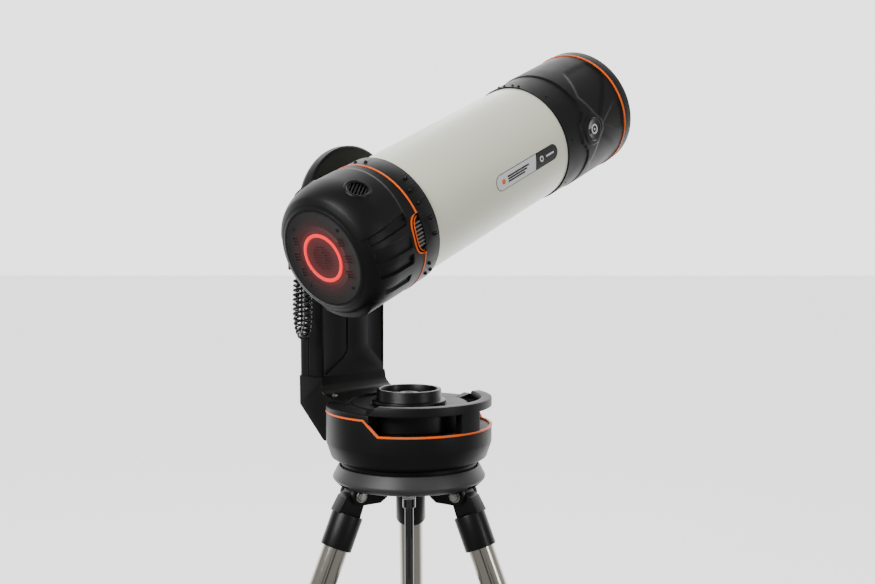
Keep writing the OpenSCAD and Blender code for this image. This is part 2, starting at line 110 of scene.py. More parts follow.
def make_studio():
    world = bpy.data.worlds.new("studio")
    bpy.context.scene.world = world
    world.use_nodes = True
    tree = world.node_tree
    background = tree.nodes["Background"]
    background.inputs["Color"].default_value = (1, 1, 1, 1)
    way = tree.nodes.new("ShaderNodeTexCoord")
    parts = tree.nodes.new("ShaderNodeSeparateXYZ")
    wall = tree.nodes.new("ShaderNodeMapRange")
    wall.interpolation_type = "SMOOTHSTEP"
    tree.links.new(way.outputs["Generated"], parts.inputs["Vector"])
    tree.links.new(parts.outputs["Y"], wall.inputs["Value"])
    wall.inputs["From Min"].default_value = 0.2
    wall.inputs["From Max"].default_value = 0.8
    wall.inputs["To Min"].default_value = 0.37
    wall.inputs["To Max"].default_value = 2.6
    tree.links.new(wall.outputs["Result"], background.inputs["Strength"])
    middle = (0, -0.05, 0.85)
    area_light("key", (-1.7, -2.1, 2.3), middle, (1.6, 1.6), 98)
    area_light("fill", (2.2, -1.5, 1.3), middle, (0.4, 1.8), 18)
    area_light("rim", (0.6, 1.9, 2.2), middle, (1.8, 1.0), 8)
    bpy.ops.mesh.primitive_plane_add(size=30, location=(0, 0, 0))
    floor = bpy.context.object
    floor.name = "floor"
    floor.visible_glossy = False
    floor.visible_diffuse = False
    floor.data.materials.append(plain_floor())
    # Dark cards behind the camera darken what the glossy parts mirror.
    for x in (-0.55, 0.5):
        bpy.ops.mesh.primitive_plane_add(size=1, location=(x, -2.6, 0.45), rotation=(math.radians(90), 0, 0))
        card = bpy.context.object
        card.scale = (0.5, 0.9, 1)
        card.name = "card"
        card.visible_camera = False
        card.visible_shadow = False
        card.data.materials.append(flock)


# ---------------------------------------------------------------- materials
def node_material(name):
    material = bpy.data.materials.new(name)
    material.use_nodes = True
    tree = material.node_tree
    shader = tree.nodes["Principled BSDF"]
    return material, tree, shader


def link(tree, a, out, b, into):
    tree.links.new(a.outputs[out], b.inputs[into])


def noise(tree, size_mm, detail=3, stretch=(1, 1, 1)):
    """Noise with features of about size_mm, in the piece's own coordinates."""
    place = tree.nodes.new("ShaderNodeTexCoord")
    mapping = tree.nodes.new("ShaderNodeMapping")
    mapping.inputs["Scale"].default_value = stretch
    texture = tree.nodes.new("ShaderNodeTexNoise")
    texture.inputs["Scale"].default_value = 1 / (size_mm * MM)
    texture.inputs["Detail"].default_value = detail
    link(tree, place, "Object", mapping, "Vector")
    link(tree, mapping, "Vector", texture, "Vector")
    return texture


def ramp(tree, source, stops, output="Fac"):
    node = tree.nodes.new("ShaderNodeValToRGB")
    elements = node.color_ramp.elements
    elements[0].position, elements[0].color = stops[0][0], (*stops[0][1], 1)
    elements[1].position, elements[1].color = stops[-1][0], (*stops[-1][1], 1)
    for position, colour in stops[1:-1]:
        elements.new(position).color = (*colour, 1)
    link(tree, source, output, node, "Fac")
    return node


def spread(tree, source, low, high, output="Fac"):
    node = tree.nodes.new("ShaderNodeMapRange")
    node.inputs["From Min"].default_value = 0.3
    node.inputs["From Max"].default_value = 0.7
    node.inputs["To Min"].default_value = low
    node.inputs["To Max"].default_value = high
    link(tree, source, output, node, "Value")
    return node


def shade(colour, factor):
    return tuple(min(1, c * factor) for c in colour)


def finish(name, colour, roughness, metallic=0.0, tint=0.1, blotch=60, grain=0.6, depth=0.02,
           stretch=(1, 1, 1), coat=0.0, specular=0.5, aniso=0.0, rough_range=0.05):
    """A moulded, painted or machined surface: colour that varies, uneven gloss and a fine grain."""
    material, tree, shader = node_material(name)
    broad = noise(tree, blotch, 2, stretch)
    stops = [(0.3, shade(colour, 1 - tint)), (0.7, shade(colour, 1 + tint))]
    tone = ramp(tree, broad, stops)
    link(tree, tone, "Color", shader, "Base Color")
    gloss = spread(tree, broad, roughness - rough_range, roughness + rough_range)
    link(tree, gloss, "Result", shader, "Roughness")
    fine = noise(tree, grain, 4, stretch)
    bump = tree.nodes.new("ShaderNodeBump")
    bump.inputs["Strength"].default_value = 0.6
    bump.inputs["Distance"].default_value = depth * MM
    link(tree, fine, "Fac", bump, "Height")
    link(tree, bump, "Normal", shader, "Normal")
    shader.inputs["Metallic"].default_value = metallic
    shader.inputs["Specular IOR Level"].default_value = specular
    shader.inputs["Coat Weight"].default_value = coat
    shader.inputs["Coat Roughness"].default_value = 0.15
    shader.inputs["Anisotropic"].default_value = aniso
    return material


def plain_floor():
    """Pale paper with a little light of its own, so that it is as bright as the wall."""
    paper = finish("floor_paper", (0.9, 0.9, 0.895), 0.75, tint=0.01, blotch=400, grain=2)
    shader = paper.node_tree.nodes["Principled BSDF"]
    shader.inputs["Emission Color"].default_value = (1, 1, 1, 1)
    shader.inputs["Emission Strength"].default_value = 1.25
    return paper


def glass_material(name, colour, roughness):
    material, tree, shader = node_material(name)
    smear = noise(tree, 18, 2)
    tone = ramp(tree, smear, [(0.3, shade(colour, 0.96)), (0.7, colour)])
    link(tree, tone, "Color", shader, "Base Color")
    gloss = spread(tree, smear, roughness, roughness + 0.03)
    link(tree, gloss, "Result", shader, "Roughness")
    shader.inputs["Transmission Weight"].default_value = 1.0
    shader.inputs["IOR"].default_value = 1.1
    shader.inputs["Coat Weight"].default_value = 0.6
    shader.inputs["Coat Tint"].default_value = (0.55, 0.75, 1.0, 1)
    return material


def lamp_material(name, colour, strength):
    material, tree, shader = node_material(name)
    frost = noise(tree, 5, 2)
    tone = ramp(tree, frost, [(0.3, shade(colour, 0.94)), (0.7, colour)])
    link(tree, tone, "Color", shader, "Base Color")
    link(tree, tone, "Color", shader, "Emission Color")
    shader.inputs["Emission Strength"].default_value = strength
    shader.inputs["Roughness"].default_value = 0.4
    return material


def painted_glow_material(name):
    """Smoked rear panel with painted glow: emission painted red near the light ring and black at the rim, standing
    in for the ring's light on the panel.
    """
    material, tree, shader = node_material(name)
    place = tree.nodes.new("ShaderNodeTexCoord")
    flat = tree.nodes.new("ShaderNodeVectorMath")
    flat.operation = "MULTIPLY"
    flat.inputs[1].default_value = (0, 1, 1)
    length = tree.nodes.new("ShaderNodeVectorMath")
    length.operation = "LENGTH"
    link(tree, place, "Object", flat, 0)
    link(tree, flat, "Vector", length, 0)
    reach = tree.nodes.new("ShaderNodeMapRange")
    reach.inputs["From Min"].default_value = 0
    reach.inputs["From Max"].default_value = 66 * MM
    link(tree, length, "Value", reach, "Value")
    red = [(0.0, (0.10, 0.012, 0.012)), (0.28, (0.20, 0.022, 0.024)), (0.44, (0.36, 0.04, 0.045)),
           (0.53, (0.36, 0.04, 0.045)), (0.62, (0.15, 0.02, 0.02)), (0.72, (0.07, 0.012, 0.012)),
           (0.85, (0.02, 0.008, 0.008)), (0.97, (0.0, 0.0, 0.0))]
    # Painted glow: the light ring's red light is painted onto the panel as emission.
    glow = ramp(tree, reach, red, "Result")
    link(tree, glow, "Color", shader, "Emission Color")
    shader.inputs["Emission Strength"].default_value = 0.42
    speckle = noise(tree, 1.6, 5)
    tone = ramp(tree, speckle, [(0.35, (0.009, 0.0085, 0.0085)), (0.7, (0.019, 0.017, 0.017))])
    link(tree, tone, "Color", shader, "Base Color")
    gloss = spread(tree, speckle, 0.35, 0.5)
    link(tree, gloss, "Result", shader, "Roughness")
    shader.inputs["Specular IOR Level"].default_value = 0.3
    return material


BLACK = (0.004, 0.004, 0.0039)
materials = {
    "tube_cream": finish("cream_enamel", (0.86, 0.865, 0.70), 0.33, tint=0.012, blotch=120, grain=1.5,
                         depth=0.006, coat=0.35, rough_range=0.03),
    "shell_black": finish("moulded_shell", BLACK, 0.45, specular=0.22, grain=0.5, depth=0.03, tint=0.14),
    "black_coat": finish("powder_coat", (0.0035, 0.0035, 0.0035), 0.42, specular=0.2, grain=0.7,
                         depth=0.025, tint=0.12),
    "black_plastic": finish("plain_plastic", (0.003, 0.003, 0.003), 0.36, specular=0.26, grain=0.45,
                            depth=0.02),
    "hood_black": finish("hood_plastic", (0.004, 0.004, 0.0038), 0.45, specular=0.2, grain=0.5,
                         depth=0.03, tint=0.14),
    "cast_grey": finish("cast_ring", (0.04, 0.04, 0.041), 0.42, specular=0.35, grain=0.9, depth=0.03,
                        tint=0.1),
    "camera_black": finish("anodised", (0.02, 0.02, 0.021), 0.35, grain=0.3, depth=0.01),
    "motor_black": finish("motor_case", (0.03, 0.03, 0.031), 0.5, grain=0.6),
    "bolt_steel": finish("bolt_steel", (0.42, 0.41, 0.385), 0.26, metallic=1, grain=0.4, depth=0.02,
                         tint=0.2, blotch=6),
    "chrome_rod": finish("chrome", (0.10, 0.10, 0.10), 0.09, metallic=1, grain=1, depth=0.004, tint=0.05,
                         rough_range=0.03),
    # The tone streaks along the legs are partly brushed grain and partly painted reflection bands.
    "stainless": finish("stainless", (0.50, 0.475, 0.42), 0.16, metallic=1, grain=0.35, depth=0.006,
                        tint=0.08,
                        blotch=14, stretch=(1, 1, 0.04), aniso=0.5),
    "orange_trim": finish("orange_trim", (1.0, 0.145, 0.012), 0.38, specular=0.25, grain=0.5, depth=0.01,
                          tint=0.06),
    "brass_gear": finish("brass", (0.70, 0.46, 0.16), 0.3, metallic=1, grain=0.5, tint=0.12, blotch=9),
    "battery_wrap": finish("battery_wrap", (0.03, 0.10, 0.32), 0.3, grain=0.6, tint=0.1),
    "board_green": finish("solder_mask", (0.01, 0.12, 0.04), 0.32, grain=1.4, depth=0.04, tint=0.3, blotch=4),
    "cell_aluminium": finish("anodised_cell", (0.2, 0.2, 0.21), 0.4, metallic=0.9, grain=0.5),
    "cable_rubber": finish("cable_sheath", (0.008, 0.008, 0.008), 0.27, grain=0.5, depth=0.01, coat=0.5),
    "foot_rubber": finish("foot_rubber", (0.014, 0.014, 0.014), 0.62, grain=0.6, depth=0.06, tint=0.2),
    "mirror_glass": finish("mirror_coat", (0.86, 0.88, 0.9), 0.04, metallic=1, tint=0.01, grain=4,
                           depth=0.001,
                           rough_range=0.01),
    "corrector_glass": glass_material("coated_glass", (0.92, 0.97, 1.0), 0.02),
    "led_red": lamp_material("light_ring", (1.0, 0.012, 0.018), 0.95),
    # The rear panel carries painted glow from the light ring, as emission.
    "panel_black": painted_glow_material("smoked_panel"),
}
flock = finish("flocked_black", (0.006, 0.006, 0.006), 0.9, grain=0.4, depth=0.08)
badge_white = finish("badge_white", (0.78, 0.79, 0.79), 0.3, tint=0.02, grain=0.5, depth=0.004, coat=0.4)
badge_black = finish("badge_black", (0.01, 0.01, 0.01), 0.25, tint=0.1, grain=0.5, depth=0.004, coat=0.4)
slat_brown = finish("vent_slat", (0.16, 0.135, 0.12), 0.5, tint=0.15, blotch=8)


# ---------------------------------------------------------------- mesh tools
def piece(name, points, faces, matrix, material):
    """A mesh piece from points in millimetres in the frame matrix."""
    mesh = bpy.data.meshes.new(name)
    mesh.from_pydata([Vector(p) * MM for p in points], [], faces)
    obj = bpy.data.objects.new(name, mesh)
    bpy.context.scene.collection.objects.link(obj)
    obj.matrix_world = matrix
    mesh.materials.append(material)
    tidy(obj)
    return obj


def tidy(obj, angle=32):
    """Joins doubled points, turns the faces outwards and smooths what isn't an edge."""
    bm = bmesh.new()
    bm.from_mesh(obj.data)
    bmesh.ops.remove_doubles(bm, verts=bm.verts, dist=1e-6)
    bmesh.ops.dissolve_degenerate(bm, edges=bm.edges, dist=1e-7)
    bmesh.ops.recalc_face_normals(bm, faces=bm.faces)
    bm.to_mesh(obj.data)
    bm.free()
    obj.data.shade_smooth()
    obj.data.set_sharp_from_angle(angle=math.radians(angle))


def bake(obj, angle=32):
    """Applies the modifiers."""
    graph = bpy.context.evaluated_depsgraph_get()
    mesh = bpy.data.meshes.new_from_object(obj.evaluated_get(graph))
    obj.modifiers.clear()
    obj.data = mesh
    tidy(obj, angle)
    return obj


def bevel(obj, width, segments=3, angle=30):
    modifier = obj.modifiers.new("bevel", "BEVEL")
    modifier.width = width * MM
    modifier.segments = segments
    modifier.limit_method = "ANGLE"
    modifier.angle_limit = math.radians(angle)
    return bake(obj)


def carve(obj, *cutters):
    """Cuts the cutters out of obj and removes them."""
    for cutter in cutters:
        modifier = obj.modifiers.new("cut", "BOOLEAN")
        modifier.object = cutter
        modifier.operation = "DIFFERENCE"
        modifier.solver = "EXACT"
    bake(obj)
    for cutter in cutters:
        bpy.data.objects.remove(cutter)
    return obj


def joined(name, pieces):
    """Makes one piece of several."""
    target = pieces[0]
    with bpy.context.temp_override(active_object=target, selected_editable_objects=pieces):
        bpy.ops.object.join()
    target.name = name
    return target


def rounded(points, radius, steps=4):
    """A polygon with its corners rounded. A third number on a point is that corner's own radius."""
    out = []
    count = len(points)
    for i, point in enumerate(points):
        here = Vector(point[:2])
        r = point[2] if len(point) > 2 else radius
        if r <= 0:
            out.append(tuple(here))
            continue
        to_last = Vector(points[i - 1][:2]) - here
        to_next = Vector(points[(i + 1) % count][:2]) - here
        half = to_last.angle(to_next) / 2
        if half > math.radians(88) or half < math.radians(2):
            out.append(tuple(here))
            continue
        cut = min(r / math.tan(half), 0.49 * to_last.length, 0.49 * to_next.length)
        a, b = here + to_last.normalized() * cut, here + to_next.normalized() * cut
        for step in range(steps + 1):
            t = step / steps
            out.append(tuple((1 - t) ** 2 * a + 2 * t * (1 - t) * here + t ** 2 * b))
    return out


def turn_x(s, r, angle):
    """A point round the tube: angle in degrees from the top towards the arm."""
    return (s, r * math.sin(math.radians(angle)), r * math.cos(math.radians(angle)))


def turn_z(z, r, angle):
    """A point round a vertical axis: angle in degrees from +X."""
    return (r * math.cos(math.radians(angle)), r * math.sin(math.radians(angle)), z)


def turn_y(w, r, angle):
    """A point round the altitude axis: angle in degrees from +X."""
    return (r * math.cos(math.radians(angle)), w, r * math.sin(math.radians(angle)))


def turn_out(x, r, angle):
    """A point round a line along X: angle in degrees from +Y."""
    return (x, r * math.cos(math.radians(angle)), r * math.sin(math.radians(angle)))


def along_x(a, b, c):
    return (c, a, b)


def along_y(a, b, c):
    return (a, c, b)


def along_z(a, b, c):
    return (a, b, c)


def sweep(name, columns, matrix, material, wrap=True, closed=True):
    """A skin over columns of points. wrap joins the last column to the first, closed each column's ends."""
    n, m = len(columns), len(columns[0])
    faces = []
    for i in range(n if wrap else n - 1):
        for j in range(m if closed else m - 1):
            a, b = i * m, (i + 1) % n * m
            k = (j + 1) % m
            faces.append((a + j, b + j, b + k, a + k))
    if not wrap and closed:
        faces.append(tuple(range(m)))
        faces.append(tuple((n - 1) * m + j for j in range(m)))
    return piece(name, [p for c in columns for p in c], faces, matrix, material)


def lathe(name, profile, matrix, material, turn=turn_x, sides=160, closed=True):
    """A turned piece. profile holds (place along the axis, radius) pairs."""
    columns = [[turn(a, r, 360 * i / sides) for a, r in profile] for i in range(sides)]
    return sweep(name, columns, matrix, material, closed=closed)


def prism(name, outline, low, high, matrix, material, to_point=along_z):
    """An outline drawn out from low to high."""
    n = len(outline)
    points = [to_point(a, b, low) for a, b in outline] + [to_point(a, b, high) for a, b in outline]
    faces = [tuple(range(n)), tuple(range(n, 2 * n))]
    faces += [(i, (i + 1) % n, n + (i + 1) % n, n + i) for i in range(n)]
    return piece(name, points, faces, matrix, material)


def rod(name, radius, low, high, matrix, material, sides=32, edge=0.4):
    """A cylinder with softened edges along the frame's Z."""
    e = min(edge, radius / 2, (high - low) / 3)
    profile = [(low, 0), (low, radius - e), (low + e * 0.3, radius - e * 0.3), (low + e, radius),
               (high - e, radius), (high - e * 0.3, radius - e * 0.3), (high, radius - e), (high, 0)]
    return lathe(name, profile, matrix, material, turn_z, sides, closed=False)


def slab(name, low, high, matrix, material, edge=0.8):
    """A box with rounded edges."""
    x, y, z = low
    outline = [(x, y), (high[0], y), (high[0], high[1]), (x, high[1])]
    return bevel(prism(name, outline, z, high[2], matrix, material), edge)


def shift(x, y, z):
    return Matrix.Translation(Vector((x, y, z)) * MM)


def spin(angle, axis):
    return Matrix.Rotation(math.radians(angle), 4, axis)


def circle(radius, count=48, centre=(0, 0)):
    return [(centre[0] + radius * math.cos(2 * math.pi * i / count),
             centre[1] + radius * math.sin(2 * math.pi * i / count)) for i in range(count)]


def place(obj, body, slot=None, *nodes):
    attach(obj, body)
    if nodes:
        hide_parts(*nodes)
    return obj


# ---------------------------------------------------------------- curly cord
CORD_ROUTE = [
    (-101, 100, 938), (-101, 100, 915), (-100, 101, 885), (-99, 102, 860), (-98, 103, 840),
    (-97, 106, 822), (-94, 113, 811), (-91, 120.5, 808), (-88, 128, 811), (-85.5, 135, 820),
    (-84, 139.5, 835), (-83, 141, 855), (-82, 141, 878), (-82, 141, 900)]
WIRE_R = 2.2
COIL_R = 4.75
COIL_PITCH = 6.7
TURN_STEPS = 16
LEAD = 9          # straight wire at each end


def smooth_route(points, step=0.5):
    """Points every step millimetres along a smooth curve through the route."""
    p = [Vector(q) for q in points]
    p = [2 * p[0] - p[1], *p, 2 * p[-1] - p[-2]]
    fine = []
    for a, b, c, d in zip(p, p[1:], p[2:], p[3:]):
        for i in range(40):
            t = i / 40
            fine.append(0.5 * (2 * b + (c - a) * t + (2 * a - 5 * b + 4 * c - d) * t * t
                               + (3 * b - a - 3 * c + d) * t ** 3))
    fine.append(p[-2])
    out, carried = [fine[0]], 0.0
    for a, b in zip(fine, fine[1:]):
        length = (b - a).length
        while carried + length >= step:
            part = (step - carried) / length
            a = a.lerp(b, part)
            out.append(a)
            length = (b - a).length
            carried = 0.0
        carried += length
    return out


def carried_frames(line):
    """A direction across the line at each point, turned as little as possible from one to the next."""
    sides, side = [], Vector((1, 0, 0))
    for i in range(len(line)):
        ahead = (line[min(i + 1, len(line) - 1)] - line[max(i - 1, 0)]).normalized()
        side = (side - ahead * side.dot(ahead)).normalized()
        sides.append((side, ahead.cross(side)))
    return sides


def tube_columns(line, radius, sides=10):
    frames = carried_frames(line)
    return [[p + radius * (math.cos(2 * math.pi * j / sides) * a + math.sin(2 * math.pi * j / sides) * b)
             for j in range(sides)] for p, (a, b) in zip(line, frames)]


def make_cord():
    step = COIL_PITCH / TURN_STEPS
    route = smooth_route(CORD_ROUTE, step)
    frames = carried_frames(route)
    last = len(route) - 1
    helix = []
    for i, (p, (a, b)) in enumerate(zip(route, frames)):
        from_end = min(i, last - i) * step
        grown = min(1, max(0, (from_end - LEAD) / COIL_PITCH))
        r = COIL_R * grown * grown * (3 - 2 * grown)
        turn = 2 * math.pi * i / TURN_STEPS
        helix.append(p + r * (math.cos(turn) * a + math.sin(turn) * b))
    cord = sweep("curly_cord", tube_columns(helix, WIRE_R, 9), HEAD, materials["cable_rubber"], wrap=False)
    reliefs = []
    for name, start in (("cord_relief_tube", route[0]), ("cord_relief_arm", route[-1])):
        turned = HEAD @ Matrix.Translation(start * MM)
        profile = [(1, 0), (1, 4.6), (-3, 4.4), (-4, 3.9), (-5, 4.2), (-6.5, 3.6), (-7.5, 3.9),
                   (-9, 3.2), (-10, 3.5), (-12, 2.7), (-12, 0)]
        reliefs.append(lathe(name, profile, turned, materials["cable_rubber"], turn_z, 24, closed=False))
    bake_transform(cord)
    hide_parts("coiled_cable")
    place(reliefs[0], "optical_tube", "cable_rubber")
    place(reliefs[1], "mount_head", "cable_rubber")


# ---------------------------------------------------------------- optical tube
CELL_R = 93
FACE_R = 66
TRIM_S = 98.7
TRIM_W = 3
CELL_END = 130.5
HOOD_START = 446
FRONT_TRIM = 599.3
TUBE_L = 620
HOOD_R = 94
TUBE_R = 89
DOME_S = 46
VENT_ANGLE = 91.5     # middle of the side vents, from the top
VENT_HALF = 17.5
VENT_DEPTH = 19
ROUND_VENT_ANGLE = 32
ROUND_VENT_S = 48
ROUND_VENT_R = 13.2


def bump(x, low, high, soft):
    """1 between low and high, 0 outside, with soft edges."""
    rise = min(1, max(0, (x - low) / soft + 0.5))
    fall = min(1, max(0, (high - x) / soft + 0.5))
    t = min(rise, fall)
    return t * t * (3 - 2 * t)


def arch(x):
    """Height of a full round arch at a place from -1 to 1 across it."""
    return (1 - abs(x) ** 2.6) ** (1 / 2.6)


def side_angle(angle):
    """Angle from the top, the same on both sides."""
    return abs((angle + 180) % 360 - 180)


def detour(angle):
    """How far the orange line runs back round a side vent."""
    x = abs(side_angle(angle) - VENT_ANGLE) / VENT_HALF
    return VENT_DEPTH * arch(x) if x < 1 else 0


def dome_r(s):
    """Radius of the rear housing at a place along the tube."""
    if s >= 2 + DOME_S:
        return CELL_R
    t = math.acos(min(1, max(0, 1 - (s - 2) / DOME_S)))
    return 70 + (CELL_R - 70) * math.sin(t)


def dent(s, angle):
    """Depth of the flutes and height of the cover plate on the rear housing."""
    a = side_angle(angle)
    crease = 86 - 8 * (a / 72) ** 2
    plate = 1.5 * bump(s, 6, crease, 5) * bump(a, -90, 72.5, 3.5)
    first = 3.6 * bump(s, 12, 78, 1.4) * bump(a, 73.5 - 4.5 * (s - 12) / 65, 80.5 - 2.0 * (s - 12) / 65, 1.0)
    second = 2.6 * bump(s, 13, 75, 2) * bump(a, 86, 98, 1.0) * min(1, max(0, (a - 84) / 12))
    third = 3.6 * bump(s, 17, 75, 2) * bump(a, 104, 113, 1.0)
    fourth = 3.2 * bump(s, 28, 74, 2) * bump(a, 124, 132, 1.3)
    fill = min(1, max(0, (a - 142) / 14))
    keel = fill * max(0, min(CELL_R - dome_r(s), 9 * bump(s, 14, 62, 10)))
    return plate - first - second - third - fourth + keel


def vent_frame(side):
    """The frame of a round vent on the rear housing, with Z pointing outwards."""
    return OPTICS @ spin(-side * ROUND_VENT_ANGLE, "X") @ shift(ROUND_VENT_S, 0, 0)


def make_rear_housing():
    steps = 110
    columns = []
    angles = 720
    for i in range(angles):
        angle = 360 * i / angles
        end = TRIM_S - detour(angle) * 0.985
        column = [(0.5, FACE_R + 0.3), (0.5, 68.6), (0.9, 69.6), (1.6, 70.4)]
        for j in range(steps + 1):
            t = j / steps
            s = 2.2 + (end - 0.6 - 2.2) * (0.35 * t * t + 0.65 * t)
            column.append((s, dome_r(s) + dent(s, angle)))
        column += [(end, dome_r(end) - 0.5), (end, CELL_R - 4), (60, CELL_R - 4), (20, 76), (4.4, 68),
                   (4.4, FACE_R + 0.3)]
        columns.append([turn_x(s, r, angle) for s, r in column])
    housing = sweep("rear_housing_skin", columns, OPTICS, materials["shell_black"])
    tidy(housing, 50)
    cutters = [rod("cut", ROUND_VENT_R, 80, 110, vent_frame(side), flock, 48, 0.01) for side in (-1, 1)]
    place(carve(housing, *cutters), "optical_tube", "shell_black", "rear_housing")


def make_round_vents():
    for side, label in ((-1, "left"), (1, "right")):
        turned = vent_frame(side)
        top = dome_r(ROUND_VENT_S) + 1.5
        ring = lathe("vent_lip", [(top - 4, 13.1), (top - 1.6, 13.1), (top - 1.2, 13.8), (top + 0.1, 16.4),
                                  (top - 0.1, 17.6), (top - 1.6, 19), (top - 4, 19)],
                     turned, materials["shell_black"], turn_z, 64)
        well = rod("vent_floor", 13.3, top - 9, top - 6.5, turned, flock, 40)
        bars = []
        for i in range(6):
            y = (i - 2.5) * 4.4
            half = math.sqrt(13.3 ** 2 - y * y)
            outline = rounded([(y - 1.6, top - 6.6), (y + 0.6, top - 6.6), (y + 1.5, top - 1.9),
                               (y - 0.7, top - 1.5)],
                              0.4)
            bars.append(prism("bar", outline, -half, half, turned @ spin(28, "Z"), materials["shell_black"],
                              along_x))
        place(joined(f"round_vent_{label}", [ring, *bars]), "optical_tube", "shell_black")
        well.name = f"round_vent_floor_{label}"
        place(well, "optical_tube")


def lens_outline(grow=0, front=15, count=40):
    """Outline of a side vent as (place along the tube, degrees from the vent's middle)."""
    half = VENT_HALF - 3.2 + grow / 1.6
    back = VENT_DEPTH - 4.6 + grow
    points = []
    for i in range(count):
        x = -1 + 2 * i / count
        points.append((TRIM_S - back * arch(x), x * half))
    for i in range(count):
        x = 1 - 2 * i / count
        points.append((TRIM_S + (front + grow) * (1 - x * x), x * half))
    return points


def wrapped(side):
    """Places an (s, degrees) outline at a radius on one side of the tube."""
    return lambda s, a, r: turn_x(s, r, side * (VENT_ANGLE + a))


def make_side_vents():
    cut = [prism("cut", lens_outline(0.3), 80, 97, OPTICS, flock, wrapped(side)) for side in (-1, 1)]
    cell = lathe("rear_cell_skin", [(TRIM_S + TRIM_W + 0.1, CELL_R - 0.4), (TRIM_S + TRIM_W + 0.5, CELL_R),
                                    (CELL_END - 1.2, CELL_R), (CELL_END - 0.35, CELL_R - 0.35),
                                    (CELL_END, CELL_R - 1.2), (CELL_END, TUBE_R + 0.05),
                                    (TRIM_S + TRIM_W + 0.1, TUBE_R + 0.05)],
                 OPTICS, materials["black_coat"], sides=240)
    place(carve(cell, *cut), "optical_tube", "black_coat")
    for side, label in ((-1, "left"), (1, "right")):
        w = wrapped(side)
        floor = prism(f"side_vent_floor_{label}", lens_outline(0.6), 87.4, 89.6, OPTICS, flock, w)
        place(floor, "optical_tube")
        columns = [[w(s0, a0, 89.5), w(s0, a0, 92.6), w(s1, a1, 93.2), w(s1, a1, 89.5)]
                   for (s0, a0), (s1, a1) in zip(lens_outline(-0.9), lens_outline(0.2))]
        rim = sweep(f"side_vent_rim_{label}", columns, OPTICS, materials["black_plastic"])
        place(rim, "optical_tube", "black_plastic")
        slats = []
        for i in range(-3, 4):
            a = i * 3.3
            x = abs(a) / (VENT_HALF - 3.2)
            back = TRIM_S - (VENT_DEPTH - 5.6) * arch(x)
            front = TRIM_S + 6.5 * (1 - x * x)
            outline = rounded([(back + 1.5, a - 0.8), (front, a - 0.8), (front, a + 0.7),
                               (back + 1.5, a + 0.7)], 0.3)
            slats.append(prism("slat", outline, 89.4, 91.6, OPTICS, slat_brown, w))
        place(joined(f"side_vent_slats_{label}", slats), "optical_tube")


def make_trim_rings():
    """Orange rings. The rear one runs back round each side vent and has a second line inside it."""
    columns = []
    count = 720
    for i in range(count):
        angle = 360 * i / count
        near, far = detour(angle - 0.5), detour(angle + 0.5)
        slope = (far - near) / (math.radians(1) * CELL_R)
        wide = 2.5 * min(1.75, math.sqrt(1 + slope * slope))
        s = TRIM_S - detour(angle)
        section = ((s, -1.5), (s, 0.5), (s + 0.4, 0.8), (s + wide - 0.4, 0.8), (s + wide, 0.5),
                   (s + wide, -1.5))
        columns.append([turn_x(a, CELL_R + b, angle) for a, b in section])
    rear = sweep("rear_trim", columns, OPTICS, materials["orange_trim"])
    loops = []
    for side in (-1, 1):
        w = wrapped(side)
        columns = []
        for i in range(81):
            x = 0.985 * (i / 40 - 1)
            a = x * (VENT_HALF - 1.9)
            s = TRIM_S + TRIM_W - (VENT_DEPTH - 1.2) * arch(x) + 1.0
            columns.append([w(s, a, 91.5), w(s, a, 93.5), w(s + 1.5, a, 93.5), w(s + 1.5, a, 91.5)])
        loops.append(sweep("loop", columns, OPTICS, materials["orange_trim"], wrap=False))
    front = lathe("front", [(FRONT_TRIM, HOOD_R - 2), (FRONT_TRIM, HOOD_R + 0.2),
                            (FRONT_TRIM + 0.6, HOOD_R + 0.6),
                            (FRONT_TRIM + TRIM_W - 0.6, HOOD_R + 0.6), (FRONT_TRIM + TRIM_W, HOOD_R + 0.2),
                            (FRONT_TRIM + TRIM_W, HOOD_R - 2)], OPTICS, materials["orange_trim"], sides=256)
    place(joined("orange_rings", [rear, *loops, front]), "optical_tube", "orange_trim", "trim_rings")


def dome_screw(s, angle, surface, radius=2.9, height=2.7):
    turned = OPTICS @ spin(-angle, "X") @ shift(s, 0, surface)
    profile = [(-1, 0), (-1, radius), (0.2, radius), (height * 0.65, radius * 0.78),
               (height * 0.95, radius * 0.42),
               (height, radius * 0.4), (height - 0.9, radius * 0.36), (height - 0.9, 0)]
    return lathe("screw", profile, turned, materials["black_plastic"], turn_z, 20, closed=False)


def make_cell_screws():
    screws = []
    for angle in (6, 56, 68, 124, 136, 174):
        screws += [dome_screw(112, side * angle, CELL_R) for side in (-1, 1)]
    for angle in (45, 84, 98, 135):
        screws += [dome_screw(122, side * angle, CELL_R) for side in (-1, 1)]
    place(joined("cell_screws", screws), "optical_tube", "black_plastic")


def make_tube():
    outer, inner = TUBE_R - 0.06, TUBE_R - 1.8
    tube = lathe("tube_skin", [(106.5, outer), (453, outer), (453, inner), (106.5, inner)],
                 OPTICS, materials["tube_cream"], sides=288)
    tube.data.materials.append(flock)
    for face in tube.data.polygons:
        middle = face.center
        if math.hypot(middle.y, middle.z) < (TUBE_R - 0.5) * MM:
            face.material_index = 1
    place(tube, "optical_tube", "tube_cream", "main_tube")


def capsule(s0, s1, half, slant0=None, slant1=None, count=14):
    """Outline in (s, millimetres round the tube). A slanted end replaces the round one."""
    points = []
    if slant1 is None:
        points += [(s1 - half + half * math.cos(t), half * math.sin(t))
                   for t in (math.pi * (i / count - 0.5) for i in range(count + 1))]
    else:
        points += [(s1, -half), (s1 + slant1, half)]
    if slant0 is None:
        points += [(s0 + half - half * math.cos(t), half * math.sin(t))
                   for t in (math.pi * (0.5 - i / count) for i in range(count + 1))]
    else:
        points += [(s0 + slant0, half), (s0, -half)]
    return points


